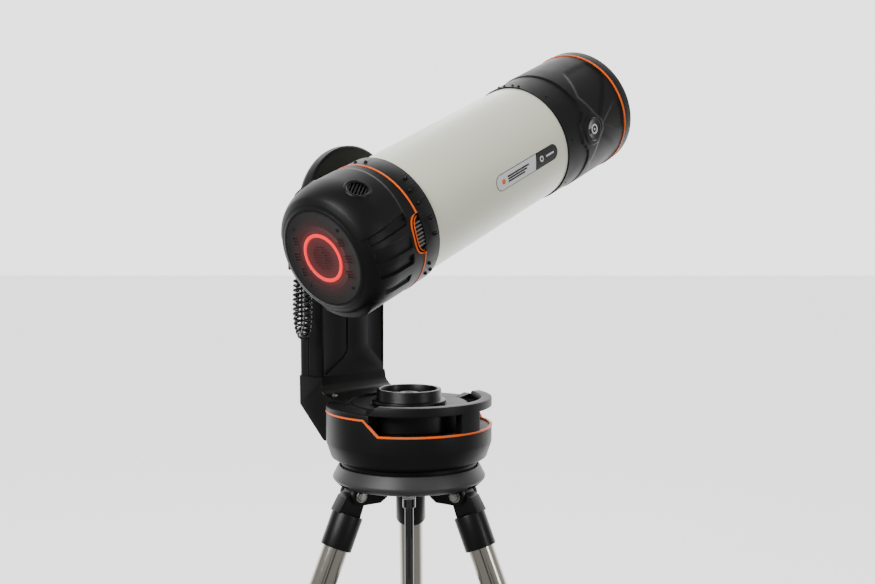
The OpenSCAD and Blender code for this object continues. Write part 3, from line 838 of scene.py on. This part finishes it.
def decal(name, outline, low, high, middle, radius, material):
    """A thin plate bent round the tube. outline is in (s, millimetres round it, up is positive)."""
    bm = bmesh.new()
    bm.faces.new([bm.verts.new((s, v, 0)) for s, v in outline])
    reach = max(abs(v) for s, v in outline)
    step = 2.0
    v = -reach + step
    while v < reach:
        everything = bm.verts[:] + bm.edges[:] + bm.faces[:]
        bmesh.ops.bisect_plane(bm, geom=everything, plane_co=(0, v, 0), plane_no=(0, 1, 0))
        v += step
    raised = bmesh.ops.extrude_face_region(bm, geom=bm.faces[:])
    for vert in raised["geom"]:
        if isinstance(vert, bmesh.types.BMVert):
            vert.co.z = high - low
    bm.verts.index_update()
    points = []
    for vert in bm.verts:
        angle = middle - math.degrees(vert.co.y / radius) * (1 if middle > 0 else -1)
        points.append(turn_x(vert.co.x, radius + low + vert.co.z, angle))
    faces = [tuple(x.index for x in f.verts) for f in bm.faces]
    bm.free()
    return piece(name, points, faces, OPTICS, material)


def make_badges():
    """A plain two-part capsule on each side of the tube, with stripes and a dot in place of any name."""
    split = 359
    for side, label in ((-1, "left"), (1, "right")):
        middle = side * 91
        rim = decal("badge_rim", capsule(269, 421, 11.9), -0.2, 0.18, middle, TUBE_R, badge_black)
        pale = decal("badge_pale", capsule(270, split + 3, 10.9, slant1=7), -0.1, 0.34, middle, TUBE_R,
                     badge_white)
        dark = decal("badge_dark", capsule(split + 4, 420, 10.9, slant0=7), -0.1, 0.5, middle, TUBE_R,
                     badge_black)
        parts = [rim, pale, dark]
        parts.append(decal("dot", circle(4.0, 28, (286, 0)), 0.2, 0.5, middle, TUBE_R,
                           materials["orange_trim"]))
        for v, start, end, half in ((3.6, 296, 349, 1.3), (0, 296, 343, 1.3), (-3.6, 296, 337, 1.3)):
            outline = [(s, v + h) for s, h in capsule(start, end, half)]
            parts.append(decal("stripe", outline, 0.2, 0.46, middle, TUBE_R, badge_black))
        parts.append(decal("mark", circle(4.6, 28, (380, 0)), 0.3, 0.62, middle, TUBE_R, badge_white))
        parts.append(decal("hole", circle(2.4, 24, (380, 0)), 0.5, 0.7, middle, TUBE_R, badge_black))
        parts.append(decal("line", capsule(391, 411, 1.3), 0.3, 0.62, middle, TUBE_R, badge_white))
        for part in parts:
            part.name = f"{part.name}_{label}".replace(".", "_")
        place(joined(f"badge_{label}", parts), "optical_tube")


def hood_edge(angle):
    """Where the hood's thicker front part starts."""
    a = side_angle(angle)
    knots = [(0, 496), (50, 498), (58, 500), (71, 501), (76, 494), (80, 485), (98, 482), (104, 490),
             (109, 496), (116, 499), (130, 498), (180, 496)]
    for (a0, s0), (a1, s1) in zip(knots, knots[1:]):
        if a <= a1:
            t = (a - a0) / (a1 - a0)
            return s0 + (s1 - s0) * t * t * (3 - 2 * t)
    return knots[-1][1]


def hood_shape(s, angle):
    """Radius of the hood outside: a thin band, a step with a wavy edge and scooped sides by the boss."""
    a = side_angle(angle)
    step = bump(s, hood_edge(angle), 700, 4)
    r = 91.2 + 1.9 * step
    ahead = 5 + 34 * max(0, (s - 530) / 60)
    scoop = 0
    for low, high in ((VENT_ANGLE + ahead, VENT_ANGLE + 62), (VENT_ANGLE - 62, VENT_ANGLE - ahead)):
        scoop = max(scoop, bump(a, low, high, 9) * bump(s, 512 + 26 * abs(abs(a - VENT_ANGLE) - 34) / 34,
                                                        594, 9))
    middle = bump(s, 540 + 3 * abs(a - VENT_ANGLE), 594, 7) * bump(a, VENT_ANGLE - 12, VENT_ANGLE + 12, 10)
    boss = math.hypot((s - 515), (a - VENT_ANGLE) * 1.62)
    raised = 1.3 * bump(boss, -1, 24, 5)
    return min(r - 1.5 * scoop - 1.0 * middle + raised, HOOD_R + 0.2)


def make_hood():
    columns = []
    angles = 540
    steps = 120
    for i in range(angles):
        angle = 360 * i / angles
        column = [(HOOD_START, TUBE_R + 0.2), (HOOD_START, 90.6), (HOOD_START + 0.6, 91.2)]
        for j in range(1, steps + 1):
            s = HOOD_START + 0.6 + (FRONT_TRIM - 1.2 - HOOD_START - 0.6) * j / steps
            column.append((s, hood_shape(s, angle)))
        column += [(FRONT_TRIM, HOOD_R - 1), (FRONT_TRIM, HOOD_R - 2.5), (FRONT_TRIM + TRIM_W, HOOD_R - 2.5),
                   (FRONT_TRIM + TRIM_W, HOOD_R - 0.4), (FRONT_TRIM + TRIM_W + 0.4, HOOD_R),
                   (TUBE_L - 2.4, HOOD_R), (TUBE_L - 1, HOOD_R - 0.4), (TUBE_L - 0.2, HOOD_R - 1.4),
                   (TUBE_L, HOOD_R - 2.4), (TUBE_L, HOOD_R - 4.6), (TUBE_L - 0.5, HOOD_R - 5.8),
                   (TUBE_L - 2, HOOD_R - 7), (466, HOOD_R - 7), (466, 84), (460.1, 84), (460.1, 76),
                   (454.6, 76), (454.6, TUBE_R + 0.2)]
        columns.append([turn_x(s, r, angle) for s, r in column])
    hood = sweep("hood_skin", columns, OPTICS, materials["hood_black"])
    tidy(hood, 40)
    place(hood, "optical_tube", "hood_black", "hood")
    baffles = [lathe("baffle", [(s, 87.2), (s + 1, 84.6), (s + 1.6, 84.6), (s + 2, 87.2)], OPTICS, flock,
                     sides=128)
               for s in (476, *range(500, 612, 14))]
    place(joined("hood_baffles", baffles), "optical_tube")


def make_hood_trim():
    """Plain round caps in place of marks, and the hood's screws."""
    for side, label in ((-1, "left"), (1, "right")):
        turned = OPTICS @ spin(-side * (VENT_ANGLE + 0.1), "X") @ shift(515, 0, 0)
        cap = lathe("cap", [(90, 0), (90, 17.6), (93.6, 17.6), (94.3, 17.0), (94.5, 15.6), (94.1, 14.6),
                            (94.15, 0)],
                    turned, badge_black, turn_z, 72, closed=False)
        ring = lathe("ring", [(94.0, 5.2), (94.5, 5.4), (94.5, 7.6), (94.0, 7.8)], turned, badge_white,
                     turn_z, 56)
        dot = lathe("dot", [(94.0, 0), (94.0, 1.9), (94.5, 1.7), (94.5, 0)],
                    turned, badge_white, turn_z, 24, closed=False)
        place(joined(f"hood_cap_{label}", [cap, ring, dot]), "optical_tube")
    screws = [dome_screw(461, side * angle, 91.1, 1.9, 0.9) for side in (-1, 1) for angle in (41, 91, 139)]
    screws += [dome_screw(452, side * angle, 91.1, 2.3, 1.9) for side in (-1, 1) for angle in (5, 12)]
    place(joined("hood_screws", screws), "optical_tube", "black_plastic")


def make_rear_panel():
    profile = [(4, 0), (1.7, 0), (1.7, 12), (1.2, 25), (1.2, 28.9), (2.6, 28.9), (2.6, 34.5), (1.2, 34.5),
               (1.1, 44), (0.95, 44.3), (1.15, 44.6), (1.1, 62), (0.5, 64.5), (0.6, 65.6), (1.2, 66), (4, 66)]
    panel = lathe("panel_skin", profile, OPTICS, materials["panel_black"], sides=192, closed=False)
    cuts = []
    for angle in (-117, -90, -62, 62, 90, 117):
        turned = OPTICS @ spin(-angle, "X") @ shift(0, 0, 48) @ spin(angle, "X")
        for y in (-4, 0, 4):
            cuts.append(slab("cut", (-2, -5.2, y - 1.2), (2.6, 5.2, y + 1.2), turned, flock, 0.2))
    for i in range(-4, 5):
        y = 3.7 * i
        half = math.sqrt(17 ** 2 - y * y)
        for side in (-1, 1):
            near = 3.5 if abs(i) < 2 else 0.8
            low, high = sorted((side * near, side * half))
            cuts.append(slab("cut", (-2, low, y - 1.05), (2.6, high, y + 1.05), OPTICS, flock, 0.2))
    place(carve(panel, joined("cut", cuts)), "optical_tube", "panel_black", "rear_panel")
    backing = lathe("panel_backing", [(4.2, 0), (4.2, 65.5), (6, 65.5), (6, 0)],
                    OPTICS, flock, sides=96, closed=False)
    place(backing, "optical_tube")
    light = lathe("light_ring", [(0.55, 29.4), (0.25, 30.1), (0.2, 33.4), (0.55, 34.1), (2.5, 34.1),
                                 (2.5, 29.4)],
                  OPTICS, materials["led_red"], sides=160)
    place(light, "optical_tube", "led_red", "led_ring")
    screws = []
    for angle in (46, 135.5, -46, -135.5):
        turned = OPTICS @ spin(-angle, "X") @ shift(1.1, 0, 57.3)
        screws.append(lathe("screw", [(1, 0), (1, 2.7), (-0.1, 2.7), (-0.4, 2.4), (-0.5, 1.3), (0.5, 1.2),
                                      (0.5, 0)],
                            turned, materials["black_plastic"], turn_out, 24, closed=False))
    place(joined("panel_screws", screws), "optical_tube", "black_plastic")


# ---------------------------------------------------------------- fork arm
ARM_Y = 110
ARM_SEAM = 137
ARM_OUT = 157
POST = 65
KNEE_Z = 745
AXLE_MM = AXLE_Z / MM


def arm_outline(inset, round_r):
    """Round top on a straight post, in (u, z). round_r is the top's radius before the inset."""
    r, half = round_r - inset, POST - inset
    shoulder = min(half, 0.8 * r)
    right = [(half, KNEE_Z)]
    for i in range(31):
        drop = 78 * (1 - i / 30)
        disc = math.sqrt(max(0, r * r - drop * drop))
        post = half + (shoulder - half) * (1 - drop / 78)
        gap = disc - post
        blended = post + (gap + math.sqrt(gap * gap + 60)) / 2
        right.append((blended if drop > 8 else max(disc, post + 0.01), AXLE_MM - drop))
    top = [(r * math.cos(t), AXLE_MM + r * math.sin(t)) for t in (math.pi * i / 60 for i in range(1, 60))]
    return [*right, *top, *[(-u, z) for u, z in reversed(right)]]


def arm_shell(name, levels, material):
    """Skin through levels of (place along the altitude axis, inset, top radius), closed at both ends."""
    columns = [[(u, w, z) for u, z in arm_outline(inset, top)] for w, inset, top in levels]
    return sweep(name, columns, HEAD, material, wrap=False)


def make_arm():
    levels = [(ARM_Y, 4, 90), (ARM_Y + 0.5, 2.2, 90), (ARM_Y + 1.6, 0.8, 90), (ARM_Y + 3.5, 0, 90.5),
              (124, 0, 90.5), (129, 0, 89), (133, 0, 86.5), (ARM_SEAM - 0.8, 0, 83.4),
              (ARM_SEAM - 0.3, 0.7, 83), (ARM_SEAM - 0.3, 6, 83)]
    arm = arm_shell("arm_casting", levels, materials["black_coat"])
    depth = 3
    top = 884
    left = rounded([(-60, top), (-60, 752), (-57, 748), (-21, 771), (-12, 781), (-12, top)], 5)
    right = rounded([(29, top), (29, 787), (34, 781), (60, 757), (61.5, 760), (61.5, top)], 4)
    cuts = [prism("cut", outline, ARM_Y - 2, ARM_Y + depth, HEAD, materials["black_coat"], along_y)
            for outline in (left, right)]
    carve(arm, *cuts)
    bevel(arm, 1.1, 2, 50)
    place(arm, "mount_head", "black_coat", "fork_arm")
    plate = lathe("axle_plate", [(ARM_Y + 2, 0), (ARM_Y - 0.8, 0), (ARM_Y - 0.8, 43), (ARM_Y, 44.4),
                                 (ARM_Y + 2, 44.4)],
                  HEAD @ shift(0, 0, AXLE_MM), materials["black_coat"], turn_y, 96, closed=False)
    place(plate, "mount_head", "black_coat")


def make_arm_cover():
    levels = [(ARM_SEAM + 0.3, 6, 82.6), (ARM_SEAM + 0.3, 0.7, 82.6), (ARM_SEAM + 0.8, 0, 82), (141, 0, 79.5),
              (145, 0, 75.5), (149, 0, 71), (153, 0.4, 66.5), (155, 1.2, 64), (156.3, 2.4, 62.4),
              (ARM_OUT, 4.4, 62)]
    cover = arm_shell("arm_cover_skin", levels, materials["shell_black"])
    place(cover, "mount_head", "shell_black", "arm_cover")
    half, low, high = POST * 0.86, KNEE_Z + 12, KNEE_Z + 12 + (925 - KNEE_Z) * 0.62
    outline = rounded([(-half, low), (half, low), (half, high), (-half, high)], 10)
    inset = prism("cover_panel", outline, ARM_OUT - 1, ARM_OUT + 0.6, HEAD, materials["black_coat"], along_y)
    place(bevel(inset, 0.5, 2), "mount_head", "black_coat")


def knee_profile():
    return rounded([(58, 693, 2), (58, 716, 3), (86, 718, 14), (104, 723, 14), (110, 733, 10),
                    (110, KNEE_Z, 0),
                    (ARM_OUT, KNEE_Z, 0), (ARM_OUT, 704, 4), (106, 654.5, 4), (101, 656, 2), (101, 693, 3)],
                   2, steps=6)


def make_knee():
    outline = knee_profile()
    columns = []
    levels = [(-66, 3.0), (-65.6, 1.4), (-64.6, 0.4), (-63, 0), (63, 0), (64.6, 0.4), (65.6, 1.4), (66, 3.0)]
    centre = (118, 712)
    for u, inset in levels:
        ring = []
        for w, z in outline:
            away = Vector((w - centre[0], z - centre[1]))
            flare = 0
            if z < 742:
                reach = 9 if u > 0 else 1.35
                flare = reach * min(1, (742 - z) / 26) * bump(z, 700, 742, 8) * bump(w, 70, 117, 12)
            moved = away * (1 - inset / max(away.length, 1))
            top = z >= KNEE_Z - 0.01
            ring.append((u + math.copysign(flare, u), centre[0] + moved.x, z if top else centre[1] + moved.y))
        columns.append(ring)
    knee = sweep("arm_knee", columns, HEAD, materials["black_coat"], wrap=False)
    drum = rod("cut", 84.4, 600, 760, HEAD, materials["black_coat"], 96, 0.01)
    wall = rod("cut", 117.3, 600, 709, HEAD, materials["black_coat"], 128, 0.01)
    carve(knee, drum, wall)
    place(knee, "mount_head", "black_coat", "arm_foot")
    half, near, far = POST + 1.2, ARM_Y - 0.2, ARM_OUT + 0.2
    outline = rounded([(-half, near), (half, near), (half, far), (-half, far)], 3)
    seam = prism("arm_seam", outline, KNEE_Z - 0.6, KNEE_Z + 0.9, HEAD, materials["black_coat"])
    place(bevel(seam, 0.4, 2), "mount_head", "black_coat")
    screws = []
    for u in (-54, 54):
        turned = HEAD @ shift(u, 95, 721.5) @ spin(22, "X")
        screws.append(lathe("screw", [(-2, 0), (-2, 4.2), (0.3, 4.2), (0.9, 3.6), (1.0, 2.2), (-0.6, 2.0),
                                      (-0.6, 0)],
                            turned, materials["bolt_steel"], turn_z, 28, closed=False))
    place(joined("knee_screws", screws), "mount_head")


def make_altitude_knob():
    turned = HEAD @ shift(0, 0, AXLE_MM)
    y = ARM_OUT + 1
    dish = lathe("clutch_dish", [(y, 0), (y, 46), (y + 0.6, 47.4), (y + 2, 48), (y + 8, 48), (y + 9.4, 47.4),
                                 (y + 10, 46),
                                 (y + 10, 40), (y + 9.4, 38.8), (y + 8.6, 38.4), (y + 4, 38.4), (y + 4, 0)],
                 turned, materials["black_plastic"], turn_y, 144, closed=False)
    place(dish, "altitude_clutch", "black_plastic", "altitude_clutch_knob")
    grips = []
    for i in range(12):
        spot = turned @ spin(30 * i, "Y") @ shift(47.4, 0, 0)
        grips.append(slab("grip", (-1.4, y + 2.2, -4), (1.3, y + 8, 4), spot, materials["black_plastic"],
                          1.0))
    bar = slab("bar", (-38.2, y + 3, -5), (38.2, y + 9, 5), turned, materials["black_plastic"], 1.8)
    hub = lathe("hub", [(y + 3, 0), (y + 3, 13), (y + 8.8, 13), (y + 9.6, 12), (y + 9.6, 0)], turned,
                materials["black_plastic"], turn_y, 64, closed=False)
    place(joined("clutch_grips", [*grips, bar, hub]), "altitude_clutch", "black_plastic")


def make_socket_and_plug():
    socket = slab("cable_socket_case", (-92, 131, 900), (-64.5, 151, 918), HEAD, materials["black_plastic"],
                  2.2)
    place(socket, "mount_head", "black_plastic", "cable_socket")
    plug = slab("cable_plug_case", (-110, 86, 938), (-92, 107, 956), HEAD, materials["black_plastic"], 2.4)
    place(plug, "optical_tube", "black_plastic", "cable_plug")


# ---------------------------------------------------------------- base drum
LINE_LOW = 682.7
LINE_HIGH = 703.7
LINE_H = 2.6
BUTTON_ANGLE = 42
BUTTON_Z = 690


def from_slot(angle):
    """Degrees round the drum from the middle of the hand slots."""
    return abs((angle + 90 + 180) % 360 - 180)


def line_z(d):
    """Height of the orange line: low by the hand slots, high by the arm."""
    return LINE_LOW + (LINE_HIGH - LINE_LOW) * min(1, max(0, (d - 68.4) / 11))


def drum_part(name, start, end, column, material, step=1.0):
    """Skin from start to end degrees through what column gives at each angle."""
    count = max(2, round((end - start) / step))
    whole = end - start >= 360
    angles = [start + (end - start) * i / count for i in range(count if whole else count + 1)]
    columns = [[turn_z(z, r, a) for r, z in column(a, min(a - start, end - a))] for a in angles]
    return sweep(name, columns, HEAD, material, wrap=whole)


def lower_wall(angle, inset):
    top = line_z(from_slot(angle))
    return [(97, 639), (97, 634.4), (99.6, 634), (109.4, 640.2), (110.3, 641.4), (116.4, 659.6), (117, 662),
            (117, top - 0.9), (116.5, top - 0.15), (113.6, top - 0.15), (113.6, 663), (106, 643)]


def trim_wall(angle, inset):
    d = from_slot(angle)
    low, high = line_z(d), line_z(d + 0.53) + LINE_H
    return [(114, low), (117.3, low), (117.75, low + 0.35), (117.75, high - 0.35), (117.3, high), (114, high)]


def upper_wall(angle, inset):
    low = line_z(from_slot(angle) + 0.53) + LINE_H + 0.15
    return [(113.6, low), (116.6, low), (117, low + 0.5), (117, 709.6), (116.4, 711.7), (115, 712.8),
            (112.6, 713.1),
            (83, 713.1), (83, 709)]


def band_wall(angle, inset):
    rise = min(1, inset / 3.6)
    rise = rise * rise * (3 - 2 * rise)
    low, high = 711.5, 713.6 + 10.4 * rise
    e = min(1.8, (high - low) / 3)
    return [(102, low + 0.7), (102.7, low), (116.3, low), (117, low + 0.7), (117, high - e),
            (116.5, high - e * 0.3),
            (117 - e, high), (102 + e, high), (102.5, high - e * 0.3), (102, high - e)]


def post_wall(angle, inset):
    round_off = 1.2 * (1 - min(1, inset / 0.7)) ** 2
    near, far = 102.5 + round_off, 116.8 - round_off
    return [(near, LINE_LOW), (far, LINE_LOW), (far, 712.4), (near, 712.4)]


def floor_wall(angle, inset):
    return [(81, 680), (113.9, 680), (113.9, LINE_LOW), (81, LINE_LOW)]


def join_wall(angle, inset):
    return [(82, 710.6), (104, 710.6), (104, 718.6), (103, 719.4), (85, 714.6), (82, 714)]


def button_frame():
    """The frame of the power button: X points outwards."""
    return HEAD @ spin(BUTTON_ANGLE, "Z") @ shift(0, 0, BUTTON_Z)


def make_drum():
    """Shells of the base. Each wall function gives a section from its angle and its distance from an end."""
    shell = materials["shell_black"]
    lower = drum_part("lower_shell_skin", 0, 360, lower_wall, shell)
    carve(lower, rod("cut", 7.1, 95, 125, button_frame() @ spin(90, "Y"), flock, 48, 0.01))
    floor = drum_part("floor", -168, -12, floor_wall, shell, 3)
    place(joined("lower_shell_skin", [lower, floor]), "mount_head", "shell_black", "lower_shell")
    trim = drum_part("base_line", 138, 402, trim_wall, materials["orange_trim"], 0.5)
    place(trim, "mount_head", "orange_trim", "base_trim")
    profile = [(683, 81), (683, 83.6), (683.6, 84), (711.4, 84), (713.6, 83.3), (714.8, 81.6), (715, 79),
               (713.1, 62),
               (713, 54), (712.4, 53.4), (712.2, 34), (711.6, 33), (709, 33), (709, 80), (700, 81)]
    core = lathe("core", profile, HEAD, shell, turn_z, 180)
    wide = drum_part("wide", -15, 195, upper_wall, shell)
    band = drum_part("band", -164, -16, band_wall, shell)
    post = drum_part("post", -99.5, -80.5, post_wall, shell, 0.35)
    ends = [drum_part("end", a, a + 8, join_wall, shell) for a in (-171, -17)]
    place(joined("upper_shell_skin", [core, wide, band, post, *ends]), "mount_head", "shell_black",
          "upper_shell")


def make_clutch_knob():
    black = materials["black_plastic"]
    profile = [(721, 0), (721, 39), (721.6, 39.9), (733.2, 40), (734.3, 40.6), (734.6, 41.6), (734.6, 44.2),
               (734.3, 45.2), (733.4, 45.7), (721, 45.9), (719.7, 46.6), (719.3, 47.6), (719.3, 50.8),
               (718.9, 52.1),
               (717.8, 52.5), (714.9, 52.5), (714.6, 52.2), (714.6, 0)]
    ring = lathe("clutch_ring", profile, STAND, black, turn_z, 160, closed=False)
    place(ring, "azimuth_clutch", "black_plastic", "azimuth_clutch_knob")
    hub = lathe("hub", [(720, 0), (720, 14), (728, 14), (728.8, 13.4), (729, 12), (729, 6), (727.6, 5.4),
                        (727.6, 0)],
                STAND, black, turn_z, 64, closed=False)
    spokes = [slab("spoke", (12, -2, 720), (40.6, 2, 727), STAND @ spin(45 + 90 * i, "Z"), black, 0.9)
              for i in range(4)]
    place(joined("clutch_spokes", [hub, *spokes]), "azimuth_clutch", "black_plastic")


def make_button():
    turned = button_frame()
    cap = lathe("button_cap", [(106, 0), (106, 6.9), (117.6, 6.9), (118.7, 6.3), (119, 5.2), (118.6, 4.2),
                               (118.4, 0)],
                turned, materials["black_plastic"], turn_out, 48, closed=False)
    place(cap, "button", "black_plastic", "power_button")
    mark = lathe("button_ring", [(118.4, 2.4), (118.9, 2.5), (118.9, 3.3), (118.4, 3.4)],
                 turned, badge_white, turn_out, 40)
    place(mark, "button")
    bezel = lathe("button_bezel", [(113, 7.6), (117.2, 7.6), (117.9, 8.1), (117.9, 9), (117.2, 9.8),
                                   (113, 9.8)],
                  turned, materials["black_plastic"], turn_out, 56)
    place(bezel, "mount_head", "black_plastic")


# ---------------------------------------------------------------- tripod
PIVOT_R = 86
PIVOT_Z = 593
LEG_ANGLES = (90, 210, 330)
CLAMP = 470
LEG_L = 641.85


def bolt_head(name, radius, low, high, matrix, to_point=along_z):
    return bevel(prism(name, circle(radius, 6), low, high, matrix, materials["bolt_steel"], to_point), 0.7, 2)


def make_tripod_head():
    profile = [(598, 30), (598, 69), (602, 76), (602, 100.4), (602.6, 101.6), (608.4, 107), (610, 107.9),
               (612, 108),
               (613.6, 107.3), (626.4, 100.6), (627.6, 99.8), (628, 98.8), (627.6, 97.6), (620.6, 96.9),
               (620, 95.8), (620, 30)]
    ring = lathe("ring", profile, STAND, materials["cast_grey"], turn_z, 180)
    plates = []
    for angle in LEG_ANGLES:
        turned = STAND @ spin(angle, "Z")
        arc = [(PIVOT_R + 13 * math.cos(t), PIVOT_Z + 13 * math.sin(t))
               for t in (math.radians(-90 + 12 * i) for i in range(13))]
        outline = [(46, 602.4), (46, 588), (56, 581), *arc, (PIVOT_R + 9, 602.4)]
        for side in (-1, 1):
            low, high = sorted((side * 13.6, side * 20.4))
            plates.append(bevel(prism("plate", outline, low, high, turned, materials["black_coat"], along_y),
                                0.9))
    pockets = [slab("cut", (PIVOT_R - 15, -13.8, 590), (PIVOT_R + 23, 13.8, 607), STAND @ spin(angle, "Z"),
                    flock, 0.3) for angle in LEG_ANGLES]
    head = carve(ring, *pockets)
    head.name = "tripod_ring"
    place(head, "tripod", "cast_grey", "tripod_head")
    place(joined("hinge_plates", plates), "tripod", "black_coat")
    bolts = []
    for angle in LEG_ANGLES:
        turned = STAND @ spin(angle, "Z") @ shift(PIVOT_R, 0, PIVOT_Z) @ spin(11, "Y")
        bolts.append(bolt_head("bolt", 6.9, 21.4, 26, turned, along_y))
        bolts.append(bolt_head("nut", 6.9, -26.4, -21.4, turned, along_y))
        bolts.append(prism("washer", circle(8.3, 32), 20.4, 21.5, turned, materials["bolt_steel"], along_y))
        bolts.append(prism("washer", circle(8.3, 32), -21.5, -20.4, turned, materials["bolt_steel"], along_y))
        bolts.append(prism("pin", circle(3.9, 24), -27.6, 26.8, turned, materials["bolt_steel"], along_y))
    place(joined("hinge_bolts", bolts), "tripod", "bolt_steel", "leg_pivot_bolts")
    bolts = []
    for angle in (30, 150, 270):
        turned = STAND @ spin(angle, "Z") @ shift(60, 0, 0)
        bolts.append(bolt_head("bolt", 8.9, 590, 597, turned))
        bolts.append(prism("washer", circle(10.6, 40), 597, 598.2, turned, materials["bolt_steel"]))
        bolts.append(rod("stud", 4.9, 598, 628, turned, materials["bolt_steel"]))
    place(joined("head_bolts", bolts), "tripod", "bolt_steel", "mount_bolts")
    pole = rod("pole", 6.25, 215, 610, STAND, materials["chrome_rod"], 64, 0.8)
    collar = lathe("collar", [(564, 6), (564, 8.6), (564.7, 9.25), (578.3, 9.25), (579, 8.6), (579, 6)],
                   STAND, materials["chrome_rod"], turn_z, 64)
    threads = [lathe("thread", [(z, 6.1), (z + 0.6, 6.5), (z + 1.0, 6.5), (z + 1.6, 6.1)],
                     STAND, materials["chrome_rod"], turn_z, 40) for z in range(340, 376, 2)]
    place(joined("pole", [pole, collar, *threads]), "tripod", "chrome_rod", "centre_rod")


def make_leg(k):
    leg = leg_frame(k)
    black = materials["black_plastic"]
    collar = lathe("collar", [(-78, 18.1), (-78, 21), (-77.4, 21.8), (-76.4, 22), (-31, 22), (-29.6, 21.6),
                              (-29, 20.6),
                              (-29, 0), (-60, 0), (-60, 18.1)], leg, black, turn_z, 72)
    arc = [(12.6 * math.cos(t), 12.6 * math.sin(t)) for t in (math.radians(10 + 16 * i) for i in range(11))]
    block = prism("block", [(12.6, -1), *arc, (-12.6, -1), (-14.5, -31), (21.6, -31), (18.5, -8)],
                  -13, 13, leg, black, along_y)
    block = bevel(block, 1.6, 3)
    low = -CLAMP
    clamp = lathe("clamp", [(low - 42, 17.4), (low - 42, 20.3), (low - 41, 21.3), (low - 38, 21.5),
                            (low + 17, 21.5),
                            (low + 19.2, 21.1), (low + 20, 20), (low + 20, 18.1), (low - 1, 18.1),
                            (low - 1, 16)],
                  leg, black, turn_z, 72)
    boss = slab("boss", (17, -9, low - 32), (30, 9, low - 8), leg, black, 2.2)
    bands = [lathe("band", [(z, 21.3), (z + 0.6, 22.2), (z + 3.4, 22.2), (z + 4, 21.3)], leg, black, turn_z,
                   72)
             for z in (low + 11, low - 40)]
    place(joined(f"leg_fittings_skin_{k}", [collar, block, clamp, boss, *bands]), f"leg_{k}", "black_plastic",
          f"leg_fittings_{k}")
    tube = lathe(f"leg_tube_skin_{k}", [(-40, 16.4), (-40, 18), (-CLAMP, 18), (-CLAMP, 16.4)],
                 leg, materials["stainless"], turn_z, 128)
    place(tube, f"leg_{k}", "stainless", f"leg_tube_{k}")
    inner = lathe(f"leg_extension_skin_{k}", [(-160, 14), (-160, 15.5), (-LEG_L + 31, 15.5),
                                              (-LEG_L + 31, 14)], leg,
                  materials["stainless"], turn_z, 112)
    place(inner, f"lower_leg_{k}", "stainless", f"leg_extension_{k}")
    knob = leg @ shift(0, 0, low - 20) @ spin(90, "Y")
    outline = []
    for i in range(96):
        a = 2 * math.pi * i / 96
        r = 13.6 + 1.4 * math.cos(6 * a)
        outline.append((r * math.cos(a), r * math.sin(a)))
    star = bevel(prism("star", outline, 31.4, 44.6, knob, black), 1.4, 3, 50)
    cap = lathe("cap", [(44, 0), (44, 8), (45, 7.6), (45, 0)], knob, black, turn_z, 48, closed=False)
    place(joined(f"clamp_knob_skin_{k}", [star, cap]), f"leg_clamp_{k}", "black_plastic", f"clamp_knob_{k}")
    stem = rod(f"clamp_stem_{k}", 4, 17, 32, knob, materials["bolt_steel"])
    place(stem, f"leg_clamp_{k}", "bolt_steel")


def make_tray():
    turned = STAND @ shift(0, 0, 393)
    black = materials["black_coat"]
    disc = prism("disc", circle(60, 128), 0, 4, turned, black)
    cuts = [rod("cut", 16, -2, 6, turned @ spin(30 + 120 * i, "Z") @ shift(38, 0, 0), black, 72, 0.01)
            for i in range(3)]
    cuts.append(rod("cut", 12.6, -2, 6, turned, black, 64, 0.01))
    parts = [bevel(carve(disc, *cuts), 0.7, 3, 40)]
    tray = frame["nodes"]["accessory_tray"]
    reach = max((tray.matrix_world @ v.co - stand_origin).to_2d().length for v in tray.data.vertices) / MM
    outline = rounded([(44, -6), (reach - 0.2, -6), (reach - 0.2, 6), (44, 6)], 5.8)
    for angle in LEG_ANGLES:
        arm = turned @ spin(angle, "Z")
        parts.append(bevel(prism("arm", outline, 0, 4, arm, black), 0.6))
        parts.append(slab("rib", (50, -2, 3), (reach - 7, 2, 10), arm, black, 0.7))
        parts.append(rod("tip", 5.8, 0, 10, arm @ shift(reach - 6, 0, 0), black, 40, 0.8))
    place(joined("tray_skin", parts), "tray", "black_coat", "accessory_tray")


def show_rest():
    """Gives every CAD part its material, and the listed parts that have no skin of their own softened edges."""
    edges = {"azimuth_base": 0.8, "cooling_fan": 0.3, "camera": 1.2, "filter_drawer": 0.5, "lens_barrel": 0.8,
             "tray_hub": 0.5, "tray_knob": 0.9, "tube_saddle": 0.8, "foot_1": 1.2, "foot_2": 1.2,
             "foot_3": 1.2}
    for part in frame["record"]["subparts"]:
        name = part["node"]
        obj = frame["nodes"][name]
        obj.data.materials.clear()
        obj.data.materials.append(materials[part["material_slot"]])
        if name in edges:
            modifier = obj.modifiers.new("soft", "BEVEL")
            modifier.width = edges[name] * MM
            modifier.segments = 3
            modifier.limit_method = "ANGLE"
            modifier.angle_limit = math.radians(35)
            modifier.harden_normals = True


show_rest()
make_cord()
make_rear_housing()
make_round_vents()
make_side_vents()
make_trim_rings()
make_cell_screws()
make_tube()
make_badges()
make_hood()
make_hood_trim()
make_rear_panel()
make_arm()
make_arm_cover()
make_knee()
make_altitude_knob()
make_socket_and_plug()
make_drum()
make_clutch_knob()
make_button()
make_tripod_head()
for leg_number in (1, 2, 3):
    make_leg(leg_number)
make_tray()
make_camera()
make_studio()
